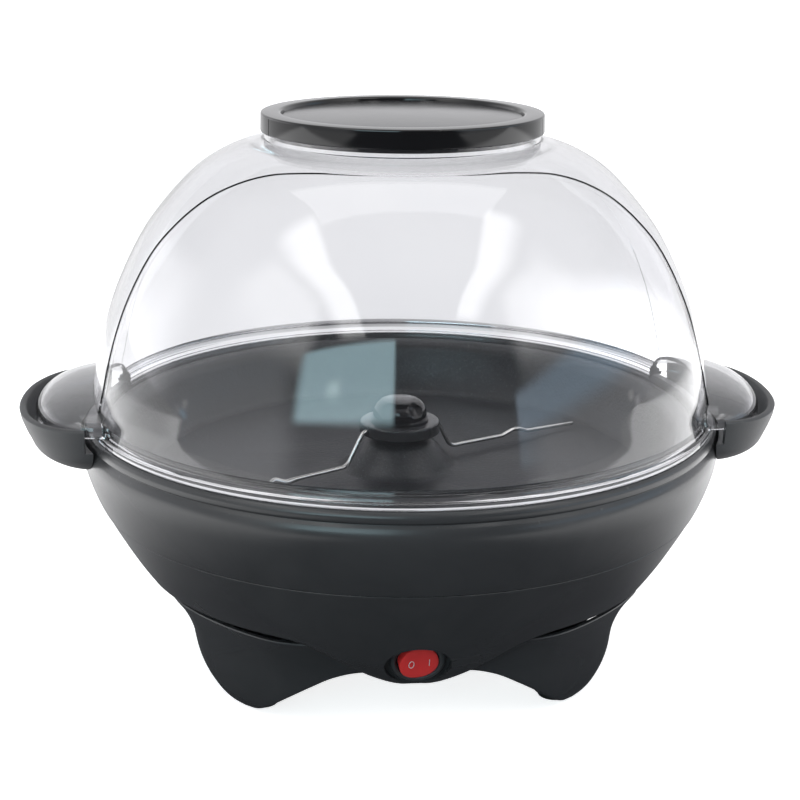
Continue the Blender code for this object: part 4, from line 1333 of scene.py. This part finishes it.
@dataclass
class LidCap:
    """The black cap on the neck, with a recessed disc and fine split lines in its ring."""

    radius: float = field(default_factory=lambda: high("lid_cap").x)
    top_z: float = field(default_factory=lambda: high("lid_cap").z)
    height: float = 8.2
    recess_r: float = 52.4
    recess: float = 1.6
    bore_r: float = 60.9
    plug_r: float = 57.6
    split_angles: tuple = (-70.5, 70.5)

    def build(self, palette: Palette) -> None:
        """Makes the ring and its recessed disc."""
        top, edge = self.top_z, self.top_z - self.height
        ring = turned("cap_ring", rounded([
            (self.recess_r - 1.0, top - self.recess - 0.6),
            (self.recess_r, top - self.recess - 0.6, 0.2),
            (self.recess_r + 0.5, top - 0.5, 0.5), (self.recess_r + 1.5, top, 0.5),
            (self.radius - 0.2, top - 0.1, 0.9),
            (self.radius, edge, 0.5), (self.bore_r, edge, 0.2), (self.bore_r, 244.9),
            (self.plug_r, 244.9, 0.2),
            (self.plug_r, 238.6, 0.6), (self.plug_r - 2.0, 238.6, 0.4),
            (self.plug_r - 2.0, top - 4.2, 0.5),
            (self.recess_r - 1.0, top - 4.2),
        ]), 256)
        splits = []
        for angle in self.split_angles:
            turn = Matrix.Rotation(radians(angle), 4, "Z")
            slit = block(
                "split", (-0.28, -self.radius - 2.0, edge - 1.0),
                (0.28, -self.radius + 0.45, top - 0.9)
            )
            slit.data.transform(turn)
            splits.append(slit)
        carve(ring, "DIFFERENCE", *splits)
        show(ring, palette["gloss_black_plastic"], Body.CAP, ["lid_cap"])
        disc = turned("cap_disc", rounded([
            (0.0, top - self.recess), (self.recess_r - 0.35, top - self.recess, 0.3),
            (self.recess_r - 0.35, top - self.recess - 0.55),
            (self.recess_r - 1.2, top - self.recess - 0.55),
            (self.recess_r - 1.2, top - 4.1), (0.0, top - 4.1),
        ]), 192)
        show(disc, palette["gloss_grey_plastic"], Body.CAP)


# ---- switch --------------------------------------------------------------------------------------


@dataclass
class RockerSwitch:
    """The round switch: black body and bezel, red rocker and its 0 and I marks."""

    switch: SwitchFrame
    bezel_r: float = 11.8
    rocker_r: float = 8.5
    gap: float = 0.4

    def body(self, palette: Palette) -> None:
        """Makes the body with its bezel."""
        r = self.rocker_r + self.gap
        shell = turned("switch_bezel", rounded([
            (0.0, -6.4), (r, -6.4), (r, -0.3, 0.3), (r + 0.5, 0.4, 0.3),
            (self.bezel_r - 1.0, 0.4, 0.8),
            (self.bezel_r, -0.8, 0.5), (self.bezel_r, -1.7), (9.9, -1.7), (9.9, -15.0, 0.4),
            (0.0, -15.0),
        ]), 96, self.switch.face())
        show(
            shell, palette["matt_black_plastic"], Body.BASE, ["switch_body"]
        )

    def top(self, x: float) -> float:
        """Height of the rocker's face above its pivot at a distance from its middle."""
        return 2.6 + 0.13 * hypot(x, 1.6)

    def rocker(self, palette: Palette) -> None:
        """Makes the rocker as loops from its root up to a face with a soft edge."""
        loops = []
        for share, height in ((0.62, -3.4), (0.97, -0.6), (0.985, None), (0.975, 0.35),
            (0.94, 0.58), (0.88, 0.68),
                              (0.6, 0.7), (0.3, 0.7), (0.02, 0.7)):
            loop = []
            for i in range(72):
                x = self.rocker_r * share * cos(2 * pi * i / 72)
                y = self.rocker_r * share * sin(2 * pi * i / 72)
                z = height if height is not None and height < 0 else self.top(x) - 0.7 + (
                    height or 0.0
                )
                loop.append(tuple(self.switch.rocker() @ Vector((x, y, z))))
            loops.append(loop)
        piece = skin("rocker", loops)
        show(piece, palette["red_plastic"], Body.ROCKER, ["switch_rocker"])

    def marks(self, palette: Palette) -> None:
        """Makes the 0 and I marks, printed on the rocker's face."""
        ring = [(1.15 * cos(2 * pi * k / 32) - 3.2, 1.75 * sin(2 * pi * k / 32)) for k in range(33)]
        bar = [(4.4, 1.7 - 3.4 * k / 6) for k in range(7)]
        for name, line in (("mark_0", ring), ("mark_1", bar)):
            path = [
                tuple(self.switch.rocker() @ Vector((x, y, self.top(x) + 0.02))) for x, y in line
            ]
            piece = swept(name, path, 0.16, 6)
            show(piece, palette["white_marking"], Body.ROCKER)

    def build(self, palette: Palette) -> None:
        """Makes the whole switch."""
        self.body(palette)
        self.rocker(palette)
        self.marks(palette)


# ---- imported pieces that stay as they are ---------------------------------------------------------


class InnerPieces:
    """Pieces inside and below the housing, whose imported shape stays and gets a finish."""

    FINISH = {
        "screw": "zinc_steel", "bottom_cover": "matt_black_plastic",
        "heat_shield": "sheet_aluminium",
        "heating_element": "zinc_steel", "thermostat": "sheet_aluminium", "thermal_fuse": "ceramic",
        "motor_can": "zinc_steel", "gearbox_cover": "zinc_steel", "motor_bracket": "zinc_steel",
        "shaft_bush": "brass", "terminal_block": "cream_plastic", "switch_tab": "brass",
        "drive_shaft": "stainless", "cord_inlet_bush": "rubber",
    }

    def build(self, palette: Palette) -> None:
        """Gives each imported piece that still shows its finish."""
        for name, node in frame["nodes"].items():
            key = next((k for k in self.FINISH if k in name), None)
            if key is None or node.hide_render:
                continue
            for place in range(max(1, len(node.material_slots))):
                if not node.material_slots:
                    node.data.materials.append(palette[self.FINISH[key]])
                node.material_slots[place].material = palette[self.FINISH[key]]
            LOG.info("%s keeps its packed shape, in %s", name, self.FINISH[key])


# ---- studio --------------------------------------------------------------------------------------


class Plane(Enum):
    """A plane of the room; places on it are shares of the plane's own distance."""

    CEILING = ("x", "-y", "z")
    FRONT = ("x", "z", "-y")
    LEFT = ("-y", "z", "-x")
    RIGHT = ("-y", "z", "x")


@dataclass(frozen=True)
class Panel:
    """A soft-edged bright panel of the room.

    Attributes:
        name: What it is.
        plane: The plane that it lies on.
        across: Its two edges along the plane's first direction.
        along: Its two edges along the plane's second direction.
        soft: Half widths of its soft edges: the first one across, the second one across, and
            both along.
        glow: Its colour and brightness.
    """

    name: str
    plane: Plane
    across: tuple[float, float]
    along: tuple[float, float]
    soft: tuple[float, float, float]
    glow: Colour

    def share(self, graph: Graph, way: dict[str, bpy.types.NodeSocket]) -> bpy.types.NodeSocket:
        """How much of the panel lies in a direction, from 0 to 1.

        Args:
            graph: The world's graph.
            way: The direction's parts by name, each with its sign.

        Returns:
            The share.
        """
        first, second, ahead = (way[part] for part in self.plane.value)
        ahead = graph.maths("MAXIMUM", ahead, 0.04)
        share: bpy.types.NodeSocket | float = 1.0
        left, right, ends = self.soft
        for part, (start, end), (near, far) in (
            (first, self.across, (left, right)), (second, self.along, (ends, ends))
        ):
            place = graph.maths("DIVIDE", part, ahead)
            rise = graph.soft(place, start - near, start + near)
            fall = graph.soft(place, end + far, end - far)
            share = graph.maths("MULTIPLY", share, graph.maths("MULTIPLY", rise, fall))
        return share


@dataclass
class Studio:
    """White floor, a dim room with bright soft panels, one lamp overhead and the camera."""

    lens: float = 77.7
    distance: float = 756.0
    height: float = 342.0
    pitch: float = 16.54
    turn: float = 4.5
    roll: float = 0.53
    front: Colour = (0.13, 0.13, 0.14)
    rear: Colour = (0.92, 0.92, 0.94)
    sides: Colour = (0.80, 0.81, 0.84)
    top: Colour = (0.62, 0.62, 0.63)
    floor_front: float = 0.02
    floor_rear: float = 0.86
    floor_sides: float = 1.3
    lamp_size: tuple = (1.6, 1.0)
    lamp_at: tuple = (0.0, 0.25, 1.8)
    lamp_power: float = 4.0

    PANELS = (
        Panel(
            "left_upper_wall", Plane.LEFT, (0.15, 1.15), (0.55, 1.15), (0.16, 0.16, 0.16),
            (1.6, 1.6, 1.6)
        ),
        Panel(
            "right_upper_wall", Plane.RIGHT, (0.15, 1.05), (0.55, 1.15), (0.16, 0.16, 0.16),
            (1.5, 1.5, 1.5)
        ),
        Panel(
            "left_strip", Plane.CEILING, (-0.76, -0.50), (0.0, 1.40), (0.10, 0.03, 0.08),
            (3.0, 3.0, 3.0)
        ),
        Panel(
            "right_strip", Plane.CEILING, (0.46, 0.68), (0.0, 1.20), (0.03, 0.10, 0.08),
            (3.0, 3.0, 3.0)
        ),
        Panel(
            "left_rear_wall", Plane.LEFT, (-1.3, -0.25), (-0.5, 0.45), (0.2, 0.2, 0.15),
            (1.6, 1.6, 1.65)
        ),
        Panel(
            "right_rear_wall", Plane.RIGHT, (-1.3, -0.25), (-0.5, 0.45), (0.2, 0.2, 0.15),
            (1.1, 1.1, 1.15)
        ),
        Panel(
            "left_window", Plane.FRONT, (-0.92, -0.12), (0.18, 0.66), (0.08, 0.02, 0.03),
            (2.4, 3.4, 3.7)
        ),
        Panel(
            "left_window_glare", Plane.FRONT, (-0.59, -0.53), (0.32, 0.38), (0.07, 0.07, 0.07),
            (6.0, 7.5, 7.8)
        ),
        Panel(
            "right_window", Plane.RIGHT, (-0.20, 1.25), (0.13, 0.38), (0.20, 0.05, 0.06),
            (1.05, 1.35, 1.65)
        ),
    )

    def camera(self) -> None:
        """Makes the camera in front of the object, a little to its left and above it."""
        data = bpy.data.cameras.new("camera")
        data.lens = self.lens
        data.clip_start, data.clip_end = 0.01, 100.0
        eye = bpy.data.objects.new("camera", data)
        bpy.context.scene.collection.objects.link(eye)
        around = radians(self.turn)
        place = Matrix.Translation(
            Vector((-self.distance * sin(around), -self.distance * cos(around), self.height)) * MM
        )
        aim = Matrix.Rotation(-around, 4, "Z") @ Matrix.Rotation(
            pi / 2 - radians(self.pitch), 4, "X"
        )
        eye.matrix_world = place @ aim @ Matrix.Rotation(radians(self.roll), 4, "Z")
        bpy.context.scene.camera = eye

    def floor(self) -> None:
        """Makes the wide floor, evenly white to the eye. To other rays it glows with painted light:
        dimmer towards the front in reflections, brighter behind and in pools beside the object.
        """
        wide = 40000.0
        floor = to_object("floor", [(-wide, -wide, 0), (wide, -wide, 0), (wide, wide, 0),
            (-wide, wide, 0)],
                          [(0, 1, 2, 3)])
        material, graph, shader = fresh("white_floor")
        where = graph.add("TexCoord").outputs["Object"]
        seen = graph.add("LightPath").outputs["Is Camera Ray"]
        shade = graph.add("TexNoise", {"Vector": where, "Scale": 3.0}).outputs[0]
        pale = graph.blend(shade, (0.90, 0.90, 0.90), (0.87, 0.87, 0.87))
        graph.tree.links.new(
            graph.blend(seen, (0.12, 0.12, 0.13), pale), shader.inputs["Base Color"]
        )
        place = graph.add("SeparateXYZ", {0: where}).outputs
        # Painted light for rays other than the camera's: a glow dim in front and bright behind, and
        # painted pools of light beside the object that show in its reflections and light it.
        aside = graph.maths("MULTIPLY", graph.maths("ABSOLUTE", place["X"]), 1.2)
        beside = graph.soft(graph.maths("ABSOLUTE", place["Y"]), 0.9, 0.5)
        pool = graph.maths("MULTIPLY", beside, graph.soft(aside, 0.14, 0.40, 0.0, self.floor_sides))
        glow = graph.soft(
            graph.maths("ADD", place["Y"], aside), 0.12, 0.60, self.floor_front, self.floor_rear
        )
        glow = graph.maths("ADD", glow, pool)
        bright = graph.add("Mix", {0: seen, 2: glow, 3: 0.80}).outputs[0]
        shader.inputs["Roughness"].default_value = 0.8
        shader.inputs["Specular IOR Level"].default_value = 0.0
        shader.inputs["Emission Color"].default_value = (1.0, 1.0, 1.0, 1.0)
        graph.tree.links.new(bright, shader.inputs["Emission Strength"])
        floor.data.materials.append(material)

    def surroundings(self) -> None:
        """Makes the room: dim in front, pale at the sides and the rear, with the bright panels."""
        world = bpy.data.worlds.new("room")
        bpy.context.scene.world = world
        world.use_nodes = True
        graph = Graph(world.node_tree)
        parts = graph.add("SeparateXYZ", {0: graph.add("TexCoord").outputs["Generated"]}).outputs
        way = {label: parts[label.upper()] for label in ("x", "y", "z")}
        way |= {f"-{label}": graph.maths("MULTIPLY", part, -1.0) for label, part in way.items()}
        level = graph.blend(graph.soft(way["y"], -0.35, 0.35), self.front, self.rear)
        aside = graph.soft(graph.maths("ABSOLUTE", way["x"]), 0.60, 0.78)
        level = graph.blend(aside, level, self.sides)
        level = graph.blend(graph.soft(way["z"], 0.40, 0.95), level, self.top)
        for panel in self.PANELS:
            level = graph.blend(panel.share(graph, way), level, panel.glow)
        world.node_tree.links.new(level, world.node_tree.nodes["Background"].inputs["Color"])

    def lamp(self) -> None:
        """Makes the wide soft lamp overhead."""
        data = bpy.data.lights.new("overhead", "AREA")
        data.shape, data.energy = "RECTANGLE", self.lamp_power
        data.size, data.size_y = self.lamp_size
        lamp = bpy.data.objects.new("overhead", data)
        bpy.context.scene.collection.objects.link(lamp)
        lamp.location = self.lamp_at
        lamp.visible_camera = False

    def build(self) -> None:
        """Makes the whole studio."""
        self.camera()
        self.floor()
        self.surroundings()
        self.lamp()
        bpy.context.scene.view_settings.view_transform = "Standard"


def main() -> None:
    """Builds every piece in order, then the studio."""
    logging.basicConfig(level=logging.INFO, format="%(message)s")
    palette = Palette(Effects())
    switch = SwitchFrame()
    bowl = LowerHousing(switch)
    UpperHousing().build(palette)
    bowl.build(palette)
    FootSkirt().build(palette, bowl)
    for side in Side:
        SideHandle(side).build(palette)
    HeatingPan().build(palette)
    Stirrer().build(palette)
    Dome().build(palette)
    LidCap().build(palette)
    RockerSwitch(switch).build(palette)
    InnerPieces().build(palette)
    Studio().build()


if __name__ == "__main__":
    main()
